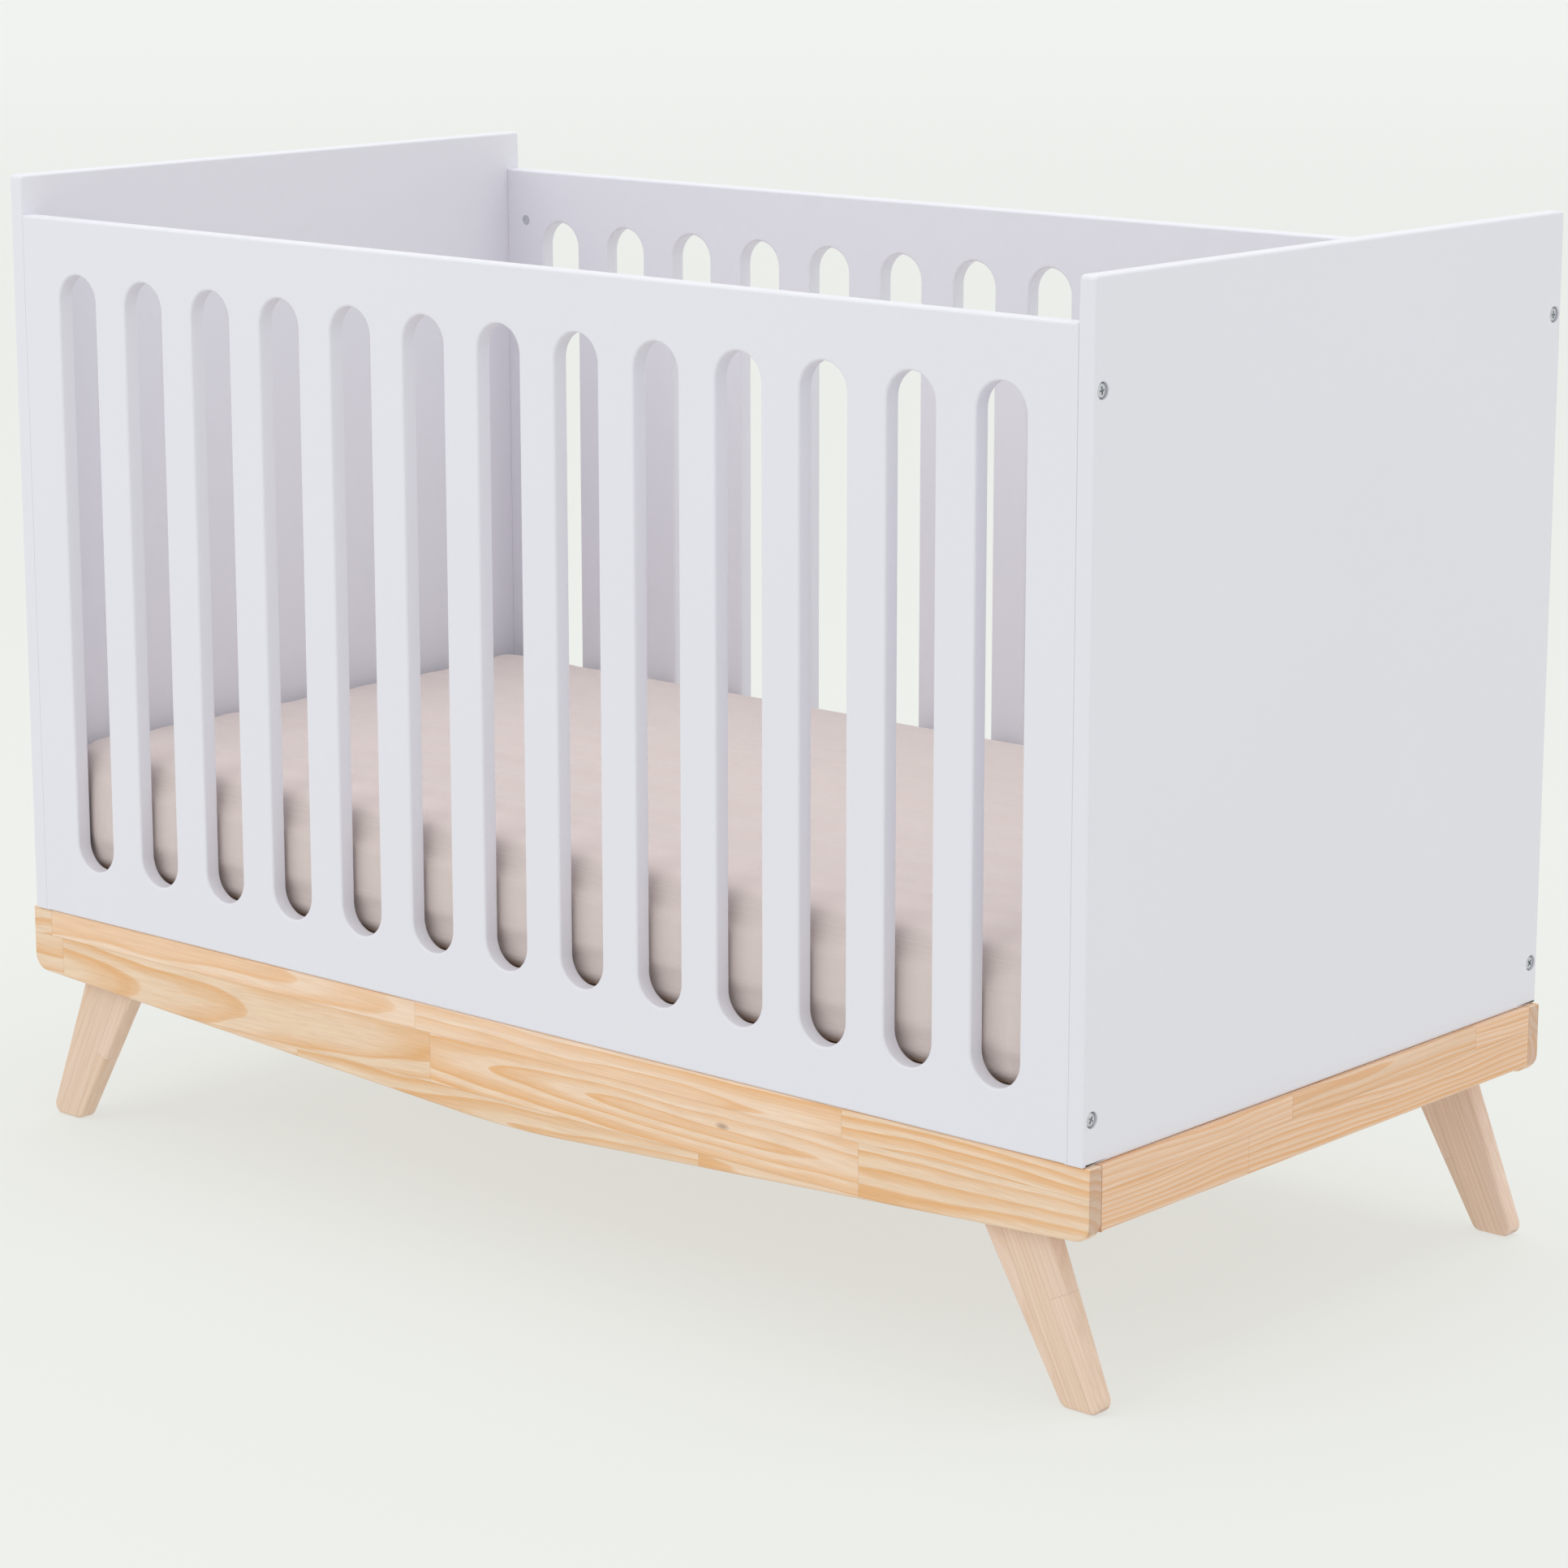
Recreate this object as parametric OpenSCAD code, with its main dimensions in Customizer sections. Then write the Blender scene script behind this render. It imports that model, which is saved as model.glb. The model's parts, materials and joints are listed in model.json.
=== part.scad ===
// Baby crib: painted slotted panels on a pine underframe with splayed plank legs.
// Millimetres, +Z up. Origin: centre of the footprint, on the floor.
// +X runs along the crib's length, and the front side panel faces -Y.

/* [Panels] */
// Length of the sleeping space, between the end panels
inner_len = 1210; // [1000:10:1500]
// Width of the sleeping space, between the side panels
inner_wid = 610; // [500:10:760]
// Height of the side panels
side_h = 650; // [560:10:800]
// Height of the end panels above the side panels
end_rise = 36; // [6:1:80]
// Thickness of every painted panel
panel_t = 16; // [15:0.5:22]
// Height of the panels' lower edges above the floor
ground_gap = 206; // [150:2:300]
// Radius of the end panels' upper corners
end_corner_r = 4; // [2:1:30]

/* [Slots] */
// Width of each slot in the side panels
slot_w = 48.5; // [30:0.5:60]
// Width of the bars between the slots
bar_w = 40.25; // [25:0.25:60]
// Solid band below the slots
sill_h = 47.8; // [46:0.2:90]
// Solid band above the slots
head_h = 49.5; // [46:0.5:90]
// Least solid width beside the first and last slot
stile_min = 40; // [38:1:80]

/* [Underframe] */
// Thickness of the aprons
apron_t = 16; // [14:0.5:22]
// How far the long aprons sit back from the panels' faces
apron_setback = 1.5; // [0:0.5:4]
// How far the underframe stands out beyond each end panel
apron_overhang = 5; // [0:0.5:10]
// Height of the long aprons at their ends
apron_end_h = 60.5; // [55:0.5:80]
// Height of the long aprons at mid length, before the tip is rounded
apron_mid_h = 94; // [85:0.5:130]
// Radius of the rounded tip at mid length
apron_tip_r = 1070; // [300:10:3000]
// Radius of the long aprons' lower corners
apron_corner_r = 16; // [4:1:30]
// Height of the side aprons
side_apron_h = 54; // [45:1:60]
// Side of each square corner block
block_w = 36; // [34:1:44]
// Height of each corner block
block_h = 50; // [46:1:54]
// Chamfer on each corner block's inner corner
block_chamfer = 12; // [4:1:14]

/* [Legs] */
// Thickness of the leg planks
leg_t = 18; // [15:0.5:24]
// Distance from the apron's end to the leg's outer edge, at the top
leg_top_inset = 77.6; // [74:0.2:110]
// Width of each leg at the top, measured level
leg_top_w = 83; // [70:1:110]
// How far each foot reaches beyond the apron's end
leg_foot_reach = 3.8; // [-10:0.2:12]
// Width of each foot, measured level
leg_foot_w = 41; // [30:1:60]
// Radius of each foot's corners
leg_foot_r = 9; // [2:1:14]

/* [Slatted base] */
// Gap between the base and each panel
base_gap = 5; // [4.5:0.5:10]
// Height of the lowest base position above the panels' lower edges
base_lift_off = 5; // [4:0.5:20]
// Height of the base rails
rail_h = 35; // [30:1:60]
// Thickness of the base rails
rail_t = 20; // [16:1:30]
// Number of slats
slat_count = 13; // [9:1:14]
// Width of each slat
slat_w = 50; // [30:1:62]
// Thickness of the slats
slat_t = 10; // [8:0.5:14]
// How far each slat reaches onto its rail
slat_seat = 12; // [10:0.5:14]
// Number of height settings
level_count = 3; // [1:1:3]
// Rise from one height setting to the next
level_step = 150; // [60:5:200]
// Distance from a side panel's face to the middle of a base bracket
bracket_inset = 88; // [60:1:150]
// Width of each base bracket
bracket_w = 40; // [24:1:50]
// Length of each leg of a base bracket
bracket_leg = 32; // [28:1:38]
// Sheet thickness of the base brackets
bracket_t = 2.5; // [2:0.5:3]

/* [Mattress] */
// Gap between the mattress and each panel
mattress_gap = 5; // [3:0.5:15]
// Thickness of the mattress, without its sheet
mattress_h = 117; // [60:1:140]
// Radius of the mattress's upright corners
mattress_r = 30; // [10:1:60]
// Thickness of the fitted sheet
sheet_t = 1.5; // [1:0.1:3]
// Width of the sheet's hem under the mattress
sheet_hem = 60; // [30:1:120]

/* [Fasteners] */
// Diameter of the bolts
bolt_d = 6; // [5:1:8]
// Diameter of the bolt heads
head_d = 12; // [10:0.5:14]
// Thickness of the bolt heads
head_t = 4; // [3:0.5:5]
// Diameter of the recess around each panel bolt
recess_d = 14.5; // [14.5:0.5:18]
// Depth of the recess around each panel bolt
recess_deep = 5; // [4:0.5:7]
// Height of the lower panel bolts above the panels' lower edges
bolt_low = 37; // [25:1:44]
// Distance of the upper panel bolts below the side panels' upper edges
bolt_high = 50; // [20:1:60]
// Distance of the panel bolts' centre lines from the side panels' outer faces
bolt_inset = 10; // [9:0.5:11]
// Distance from a side panel's end to its barrel nuts
nut_inset = 25; // [16:1:30]
// Diameter of the barrel nuts
nut_d = 10; // [10:0.5:12]
// Diameter of the wooden dowels
dowel_d = 8; // [6:1:10]
// Diameter of the threaded inserts
insert_d = 9; // [9:0.5:10]
// Length of the threaded inserts
insert_l = 11; // [8:0.5:11.5]
// Diameter of the wood screws
screw_d = 3.5; // [3:0.5:4]
// Diameter of the wood screw heads
screw_head_d = 7; // [6:0.5:8]
// Clearance between a fastener and its hole, all round
fit_gap = 0.1; // [0.05:0.05:0.3]

/* [Hidden] */

$fn = 64;
eps = 1;                       // how far a cutting tool runs past the face it cuts

white = "whitesmoke";
pine = "burlywood";
beech = "wheat";
zinc = "silver";

half_len = inner_len / 2;
half_wid = inner_wid / 2;
outer_x = half_len + panel_t;
outer_y = half_wid + panel_t;
side_top = ground_gap + side_h;

// Slots
slot_pitch = slot_w + bar_w;
slot_count = floor((inner_len - 2 * stile_min + bar_w) / slot_pitch);
slot_low = ground_gap + sill_h;
slot_high = side_top - head_h;

// Underframe
apron_end_x = outer_x + apron_overhang;
apron_face_y = outer_y - apron_setback;
apron_back_y = apron_face_y - apron_t;
apron_slope = (apron_mid_h - apron_end_h) / apron_end_x;
apron_tilt = sqrt(1 + apron_slope * apron_slope);
tip_reach = apron_tip_r * apron_slope / apron_tilt;
tip_z = ground_gap - apron_mid_h + apron_tip_r * apron_tilt;
corner_z = ground_gap - apron_end_h - apron_slope * apron_corner_r + apron_corner_r * apron_tilt;
block_in_x = apron_end_x - apron_t - block_w;
block_in_y = apron_back_y - block_w;

// Legs
leg_top_out = apron_end_x - leg_top_inset;
leg_top_in = leg_top_out - leg_top_w;
leg_foot_out = apron_end_x + leg_foot_reach;
leg_foot_in = leg_foot_out - leg_foot_w;
leg_back_y = apron_back_y - leg_t;
leg_bolt_drops = [15, 41];     // below the aprons' upper edges
leg_bolt_l = 26;
washer_d = 16;
washer_t = 1.5;

// Slatted base
base_x = half_len - base_gap;
base_y = half_wid - base_gap;
base_low = ground_gap + base_lift_off;
base_top = base_low + rail_h;
slat_span = 2 * (base_x - rail_t);
slat_gap = (slat_span - slat_count * slat_w) / (slat_count + 1);
slat_half = base_y - rail_t + slat_seat;
bracket_y = outer_y - bracket_inset;
bracket_screw_rise = 20;       // from a bracket's underside
bracket_screw_l = 13;
insert_z = base_low - bracket_t + bracket_screw_rise;

// Mattress
mattress_x = half_len - mattress_gap;
mattress_y = half_wid - mattress_gap;
sheet_h = mattress_h + 2 * sheet_t;

// Fasteners
bolt_z = [ground_gap + bolt_low, side_top - bolt_high];
bolt_y = outer_y - bolt_inset;
bolt_seat_x = outer_x - recess_deep;
bolt_l = bolt_seat_x - half_len + nut_inset + 9;
nut_x = half_len - nut_inset;
nut_deep = panel_t - bolt_inset + 7;   // reaches past the bolts' centre lines
nut_l = nut_deep - 1;
cross_l = 6.5;
cross_w = 1.6;
cross_deep = 2.2;
panel_dowel_rises = [0.3, 0.7];   // shares of the side panels' height
panel_dowel_in = 20;           // into the side panel
panel_dowel_out = 9;           // into the end panel
apron_dowel_l = 30;
apron_dowel_y = (apron_face_y + half_wid) / 2;
apron_dowel_places = [-0.66, 0, 0.66];   // shares of half the sleeping space's length
bore_d = bolt_d + 2 * fit_gap;
block_screw_l = block_w + 9;
block_long_drops = [10, 40];   // screws into the long aprons, below the block's top
block_side_drops = [18, 32];   // screws into the side aprons
block_screw_x = block_in_x + (block_w + block_chamfer) / 2;
block_screw_y = block_in_y + (block_w + block_chamfer) / 2;
angle_leg = 25;
angle_w = 22;
angle_t = 2;
angle_y = apron_back_y - 4 - angle_w / 2;
angle_screw_at = 16;           // from the angle's heel
angle_screw_l = 13;
slat_screw_l = 24;
slat_screw_y = slat_half - slat_seat / 2;
corner_screw_l = rail_t + 30;
corner_screw_rises = [10, 24];

// ---------- helpers ----------

// The same thing at both ends, or at both sides, or at all four corners
module both_ends() {
    children();
    mirror([1, 0, 0]) children();
}

module both_sides() {
    children();
    mirror([0, 1, 0]) children();
}

module four_corners() {
    both_ends() both_sides() children();
}

// An outline drawn in X and Z, given thickness from y_low to y_high
module slab_y(y_low, y_high) {
    translate([0, y_high, 0]) rotate([90, 0, 0]) linear_extrude(y_high - y_low) children();
}

// A cylinder along +X, +Y or +Z from a point
module rod_x(at, d, l) {
    translate(at) rotate([0, 90, 0]) cylinder(d = d, h = l);
}

module rod_y(at, d, l) {
    translate(at) rotate([-90, 0, 0]) cylinder(d = d, h = l);
}

module rod_z(at, d, l) {
    translate(at) cylinder(d = d, h = l);
}

// What a right-angled outline corner loses to a round of radius r
module corner_bite(r) {
    difference() {
        translate([-r, -r]) square(r + eps);
        translate([-r, -r]) circle(r);
    }
}

// A wood screw pointing along -Z, with its countersunk head's face at the origin
module wood_screw(l) {
    cone = (screw_head_d - screw_d) / 2;
    rotate_extrude() polygon([
        [0, 0], [screw_head_d / 2, 0], [screw_d / 2, -cone], [screw_d / 2, -l + screw_d / 2], [0, -l]
    ]);
}

// The hole that the wood screw sits in
module screw_hole(l) {
    r = screw_d / 2 + fit_gap;
    head_r = screw_head_d / 2 + fit_gap;
    cone = head_r - r;
    translate([0, 0, eps]) rotate_extrude() polygon([
        [0, 0], [head_r, 0], [head_r, -eps], [r, -eps - cone], [r, -eps - l], [0, -eps - l]
    ]);
}

// A bolt with a cross recess: its tip is at the origin and its head sits on height l
module bolt(l) {
    difference() {
        union() {
            cylinder(d = bolt_d, h = l + eps);
            translate([0, 0, l]) cylinder(d = head_d, h = head_t);
        }
        for (turn = [0, 90]) rotate([0, 0, turn])
            translate([-cross_l / 2, -cross_w / 2, l + head_t - cross_deep])
                cube([cross_l, cross_w, cross_deep + eps]);
    }
}

// ---------- painted panels ----------

module end_panel() {
    color(white) difference() {
        translate([half_len, 0, 0]) rotate([90, 0, 90]) linear_extrude(panel_t) difference() {
            translate([-outer_y, ground_gap]) square([2 * outer_y, side_h + end_rise]);
            for (side = [1, -1]) scale([side, 1])
                translate([outer_y, side_top + end_rise]) corner_bite(end_corner_r);
        }
        both_sides() {
            for (z = bolt_z) {
                rod_x([half_len - eps, bolt_y, z], bore_d, panel_t + 2 * eps);
                rod_x([bolt_seat_x, bolt_y, z], recess_d, recess_deep + eps);
            }
            for (share = panel_dowel_rises)
                rod_x([half_len - eps, bolt_y, ground_gap + share * side_h],
                    dowel_d + 2 * fit_gap, panel_dowel_out + eps + 0.5);
            for (level = [0:level_count - 1])
                rod_x([half_len - eps, bracket_y, insert_z + level * level_step],
                    insert_d + 2 * fit_gap, insert_l + eps + 0.5);
            rod_x([half_len - eps, angle_y, ground_gap + angle_screw_at],
                screw_d + 2 * fit_gap, angle_screw_l);
        }
    }
}

module slot(x) {
    translate([x, slot_low + slot_w / 2]) circle(d = slot_w);
    translate([x, slot_high - slot_w / 2]) circle(d = slot_w);
    translate([x - slot_w / 2, slot_low + slot_w / 2]) square([slot_w, slot_high - slot_low - slot_w]);
}

module side_panel() {
    color(white) difference() {
        slab_y(-outer_y, -half_wid) difference() {
            translate([-half_len, ground_gap]) square([inner_len, side_h]);
            for (i = [0:slot_count - 1]) slot((i - (slot_count - 1) / 2) * slot_pitch);
        }
        both_ends() {
            for (z = bolt_z) {
                rod_x([bolt_seat_x - bolt_l - eps, -bolt_y, z], bore_d, bolt_l);
                rod_y([nut_x, -half_wid - nut_deep, z], nut_d + 2 * fit_gap, nut_deep + eps);
            }
            for (share = panel_dowel_rises)
                rod_x([half_len - panel_dowel_in - 0.5, -bolt_y, ground_gap + share * side_h],
                    dowel_d + 2 * fit_gap, panel_dowel_in + 0.5 + eps);
        }
        for (share = apron_dowel_places)
            rod_z([share * half_len, -apron_dowel_y, ground_gap - eps],
                dowel_d + 2 * fit_gap, apron_dowel_l / 2 + 0.5 + eps);
    }
}

// ---------- underframe ----------

// The long apron's outline: shallow V below with a rounded tip and rounded lower corners
module apron_outline() {
    reach = apron_end_x;
    difference() {
        intersection() {
            polygon([
                [-reach, ground_gap], [reach, ground_gap], [reach, ground_gap - apron_end_h],
                [0, ground_gap - apron_mid_h], [-reach, ground_gap - apron_end_h]
            ]);
            union() {
                translate([0, tip_z]) circle(apron_tip_r, $fn = 256);
                for (side = [1, -1]) scale([side, 1])
                    translate([tip_reach, 0]) square([reach, ground_gap + eps]);
            }
        }
        for (side = [1, -1]) scale([side, 1]) difference() {
            translate([reach - apron_corner_r, 0]) square([apron_corner_r + eps, corner_z]);
            translate([reach - apron_corner_r, corner_z]) circle(apron_corner_r);
        }
    }
}

module long_apron() {
    color(pine) difference() {
        slab_y(-apron_face_y, -apron_back_y) apron_outline();
        both_ends() {
            for (drop = leg_bolt_drops)
                rod_y([leg_mid(drop), -apron_back_y - insert_l - 0.5, ground_gap - drop],
                    insert_d + 2 * fit_gap, insert_l + 0.5 + eps);
            for (drop = block_long_drops)
                rod_y([block_screw_x, -block_in_y - block_screw_l, ground_gap - drop],
                    screw_d + 2 * fit_gap, block_screw_l);
        }
        for (share = apron_dowel_places)
            rod_z([share * half_len, -apron_dowel_y, ground_gap - apron_dowel_l / 2 - 0.5],
                dowel_d + 2 * fit_gap, apron_dowel_l / 2 + 0.5 + eps);
    }
}

module side_apron() {
    color(pine) difference() {
        translate([apron_end_x - apron_t, -apron_back_y, ground_gap - side_apron_h])
            cube([apron_t, 2 * apron_back_y, side_apron_h]);
        both_sides() for (drop = block_side_drops)
            rod_x([block_in_x, block_screw_y, ground_gap - drop], screw_d + 2 * fit_gap, block_screw_l);
    }
}

module block() {
    top = ground_gap;
    color(pine) difference() {
        translate([0, 0, top - block_h]) linear_extrude(block_h) polygon([
            [block_in_x + block_w, -block_in_y - block_w],
            [block_in_x + block_w, -block_in_y],
            [block_in_x + block_chamfer, -block_in_y],
            [block_in_x, -block_in_y - block_chamfer],
            [block_in_x, -block_in_y - block_w]
        ]);
        for (drop = block_long_drops)
            translate([block_screw_x, -block_in_y, top - drop]) rotate([-90, 0, 0])
                screw_hole(block_screw_l);
        for (drop = block_side_drops)
            translate([block_in_x, -block_screw_y, top - drop]) rotate([0, -90, 0])
                screw_hole(block_screw_l);
        rod_z([half_len - angle_screw_at, -angle_y, top - angle_screw_l], screw_d + 2 * fit_gap, angle_screw_l + eps);
    }
}

// Middle of a right-hand leg, this far below the aprons' upper edges
function leg_mid(drop) =
    let (share = drop / ground_gap)
    (leg_top_in + leg_top_out) / 2 * (1 - share) + (leg_foot_in + leg_foot_out) / 2 * share;

// What a foot corner loses: the wedge at the point, less a circle that touches both its edges
module foot_bite(corner, up, along, r) {
    edge = up / norm(up);
    half_turn = acos(edge * along) / 2;
    mid_line = (edge + along) / norm(edge + along);
    difference() {
        polygon([corner - eps * mid_line, corner + edge * r / tan(half_turn), corner + along * r / tan(half_turn)]);
        translate(corner + mid_line * r / sin(half_turn)) circle(r);
    }
}

module leg() {
    foot_in = [leg_foot_in, 0];
    foot_out = [leg_foot_out, 0];
    top_in = [leg_top_in, ground_gap];
    top_out = [leg_top_out, ground_gap];
    color(beech) difference() {
        slab_y(-apron_back_y, -leg_back_y) difference() {
            polygon([foot_in, foot_out, top_out, top_in]);
            foot_bite(foot_in, top_in - foot_in, [1, 0], leg_foot_r);
            foot_bite(foot_out, top_out - foot_out, [-1, 0], leg_foot_r);
        }
        for (drop = leg_bolt_drops)
            rod_y([leg_mid(drop), -apron_back_y - eps, ground_gap - drop], bore_d, leg_t + 2 * eps);
    }
}

// ---------- slatted base ----------

module slat_at(i) {
    translate([-slat_span / 2 + slat_gap * i + slat_w * (i - 1), -slat_half, base_top - slat_t]) children();
}

module long_rail() {
    color(pine) difference() {
        translate([-base_x, -base_y, base_low]) cube([2 * base_x, rail_t, rail_h]);
        for (i = [1:slat_count]) {
            slat_at(i) cube([slat_w, slat_seat, slat_t + eps]);
            slat_at(i) rod_z([slat_w / 2, slat_half - slat_screw_y, slat_t - slat_screw_l],
                screw_d + 2 * fit_gap, slat_screw_l);
        }
        both_ends() for (rise = corner_screw_rises)
            translate([base_x - rail_t / 2, -base_y, base_low + rise]) rotate([90, 0, 0])
                screw_hole(corner_screw_l);
    }
}

module end_rail() {
    color(pine) difference() {
        translate([base_x - rail_t, -base_y + rail_t, base_low]) cube([rail_t, 2 * (base_y - rail_t), rail_h]);
        both_sides() for (rise = corner_screw_rises)
            rod_y([base_x - rail_t / 2, base_y - corner_screw_l, base_low + rise],
                screw_d + 2 * fit_gap, corner_screw_l);
    }
}

module slat(i) {
    color(beech) difference() {
        slat_at(i) cube([slat_w, 2 * slat_half, slat_t]);
        both_sides() slat_at(i)
            translate([slat_w / 2, slat_half - slat_screw_y, slat_t]) screw_hole(slat_screw_l);
    }
}

module slat_screws() {
    color(zinc) both_sides() for (i = [1:slat_count]) slat_at(i)
        translate([slat_w / 2, slat_half - slat_screw_y, slat_t]) wood_screw(slat_screw_l);
}

module base_corner_screws() {
    color(zinc) four_corners() for (rise = corner_screw_rises)
        translate([base_x - rail_t / 2, -base_y, base_low + rise]) rotate([90, 0, 0])
            wood_screw(corner_screw_l);
}

// An angle bracket at a right-hand end, with its heel in the corner of wall and shelf
module angle(wide, leg, thick) {
    translate([half_len - leg, -wide / 2, 0]) cube([leg, wide, thick]);
    translate([half_len - thick, -wide / 2, 0]) cube([thick, wide, leg]);
}

module base_brackets() {
    color(zinc) four_corners() difference() {
        translate([0, bracket_y, base_low - bracket_t]) angle(bracket_w, bracket_leg, bracket_t);
        translate([half_len - bracket_t, bracket_y, insert_z]) rotate([0, -90, 0]) countersunk_hole();
    }
}

// A machine screw for the base brackets, pointing along -Z
module countersunk_screw() {
    head_r = bolt_d / 2 + bracket_t - 0.2;
    rotate_extrude() polygon([
        [0, 0], [head_r, 0], [bolt_d / 2, -bracket_t + 0.2], [bolt_d / 2, -bracket_screw_l], [0, -bracket_screw_l]
    ]);
}

module countersunk_hole() {
    r = bolt_d / 2 + fit_gap;
    head_r = r + bracket_t - 0.2;
    translate([0, 0, eps]) rotate_extrude() polygon([
        [0, 0], [head_r, 0], [head_r, -eps], [r, -eps - bracket_t + 0.2], [r, -bracket_t - 2 * eps], [0, -bracket_t - 2 * eps]
    ]);
}

module base_bracket_screws() {
    color(zinc) four_corners()
        translate([half_len - bracket_t, bracket_y, insert_z]) rotate([0, -90, 0]) countersunk_screw();
}

module base_height_inserts() {
    color("goldenrod") four_corners() for (level = [0:level_count - 1])
        translate([half_len, bracket_y, insert_z + level * level_step]) rotate([0, 90, 0]) insert();
}

module insert() {
    difference() {
        cylinder(d = insert_d, h = insert_l);
        translate([0, 0, -eps]) cylinder(d = bore_d, h = insert_l + 2 * eps);
    }
}

// ---------- mattress ----------

module pad_prism(half_x, half_y, r, z_low, z_high) {
    translate([0, 0, z_low]) linear_extrude(z_high - z_low) difference() {
        square([2 * half_x, 2 * half_y], center = true);
        for (side_x = [1, -1]) for (side_y = [1, -1]) scale([side_x, side_y])
            translate([half_x, half_y]) corner_bite(r);
    }
}

module mattress() {
    color("ivory") pad_prism(mattress_x - sheet_t, mattress_y - sheet_t, mattress_r - sheet_t,
        base_top + sheet_t, base_top + sheet_t + mattress_h);
}

module fitted_sheet() {
    inner_x = mattress_x - sheet_t;
    inner_y = mattress_y - sheet_t;
    color("mistyrose") difference() {
        pad_prism(mattress_x, mattress_y, mattress_r, base_top, base_top + sheet_h);
        pad_prism(inner_x, inner_y, mattress_r - sheet_t, base_top + sheet_t, base_top + sheet_t + mattress_h);
        pad_prism(inner_x - sheet_hem, inner_y - sheet_hem, mattress_r, base_top - eps, base_top + sheet_t + eps);
    }
}

// ---------- fasteners ----------

module end_bolts() {
    color(zinc) both_sides() for (z = bolt_z)
        translate([bolt_seat_x - bolt_l, bolt_y, z]) rotate([0, 90, 0]) bolt(bolt_l);
}

module barrel_nuts() {
    color(zinc) both_ends() for (z = bolt_z) difference() {
        rod_y([nut_x, -half_wid - nut_deep + 0.5, z], nut_d, nut_l);
        rod_x([nut_x - nut_d, -bolt_y, z], bore_d, 2 * nut_d);
    }
}

module panel_dowels() {
    color(beech) four_corners() for (share = panel_dowel_rises)
        rod_x([half_len - panel_dowel_in, bolt_y, ground_gap + share * side_h],
            dowel_d, panel_dowel_in + panel_dowel_out);
}

module apron_dowels() {
    color(beech) both_sides() for (share = apron_dowel_places)
        rod_z([share * half_len, apron_dowel_y, ground_gap - apron_dowel_l / 2], dowel_d, apron_dowel_l);
}

module leg_bolts() {
    color(zinc) four_corners() for (drop = leg_bolt_drops)
        translate([leg_mid(drop), -leg_back_y + washer_t - leg_bolt_l, ground_gap - drop])
            rotate([-90, 0, 0]) bolt(leg_bolt_l);
}

module leg_washers() {
    color(zinc) four_corners() for (drop = leg_bolt_drops) difference() {
        rod_y([leg_mid(drop), -leg_back_y, ground_gap - drop], washer_d, washer_t);
        rod_y([leg_mid(drop), -leg_back_y - eps, ground_gap - drop], bore_d, washer_t + 2 * eps);
    }
}

module leg_inserts() {
    color("goldenrod") four_corners() for (drop = leg_bolt_drops)
        translate([leg_mid(drop), -apron_back_y - insert_l, ground_gap - drop]) rotate([-90, 0, 0]) insert();
}

module block_screws() {
    color(zinc) four_corners() {
        for (drop = block_long_drops)
            translate([block_screw_x, -block_in_y, ground_gap - drop]) rotate([-90, 0, 0])
                wood_screw(block_screw_l);
        for (drop = block_side_drops)
            translate([block_in_x, -block_screw_y, ground_gap - drop]) rotate([0, -90, 0])
                wood_screw(block_screw_l);
    }
}

module angle_screw_places() {
    translate([half_len - angle_screw_at, angle_y, ground_gap + angle_t]) children();
    translate([half_len - angle_t, angle_y, ground_gap + angle_screw_at]) rotate([0, -90, 0]) children();
}

module frame_angles() {
    color(zinc) four_corners() difference() {
        translate([0, angle_y, ground_gap]) angle(angle_w, angle_leg, angle_t);
        angle_screw_places() screw_hole(angle_screw_l);
    }
}

module frame_angle_screws() {
    color(zinc) four_corners() angle_screw_places() wood_screw(angle_screw_l);
}

// ---------- the whole crib ----------

mirror([1, 0, 0]) end_panel();  // left_end_panel
end_panel();  // right_end_panel
side_panel();  // front_side_panel
mirror([0, 1, 0]) side_panel();  // back_side_panel
long_apron();  // front_apron
mirror([0, 1, 0]) long_apron();  // back_apron
mirror([1, 0, 0]) side_apron();  // left_apron
side_apron();  // right_apron
mirror([1, 0, 0]) leg();  // leg_front_left
leg();  // leg_front_right
mirror([1, 0, 0]) mirror([0, 1, 0]) leg();  // leg_back_left
mirror([0, 1, 0]) leg();  // leg_back_right
mirror([1, 0, 0]) block();  // block_front_left
block();  // block_front_right
mirror([1, 0, 0]) mirror([0, 1, 0]) block();  // block_back_left
mirror([0, 1, 0]) block();  // block_back_right
long_rail();  // base_front_rail
mirror([0, 1, 0]) long_rail();  // base_back_rail
mirror([1, 0, 0]) end_rail();  // base_left_rail
end_rail();  // base_right_rail
for (i = [1:slat_count]) slat(i);
mirror([1, 0, 0]) end_bolts();  // left_end_bolts
end_bolts();  // right_end_bolts
barrel_nuts();  // front_barrel_nuts
mirror([0, 1, 0]) barrel_nuts();  // back_barrel_nuts
panel_dowels();
apron_dowels();
leg_bolts();
leg_washers();
leg_inserts();
block_screws();
frame_angles();
frame_angle_screws();
base_brackets();
base_bracket_screws();
base_height_inserts();
base_corner_screws();
slat_screws();
mattress();
fitted_sheet();
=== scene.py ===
import json
import math
import random

import bmesh
import bpy
from mathutils import Matrix, Vector, noise


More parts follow.
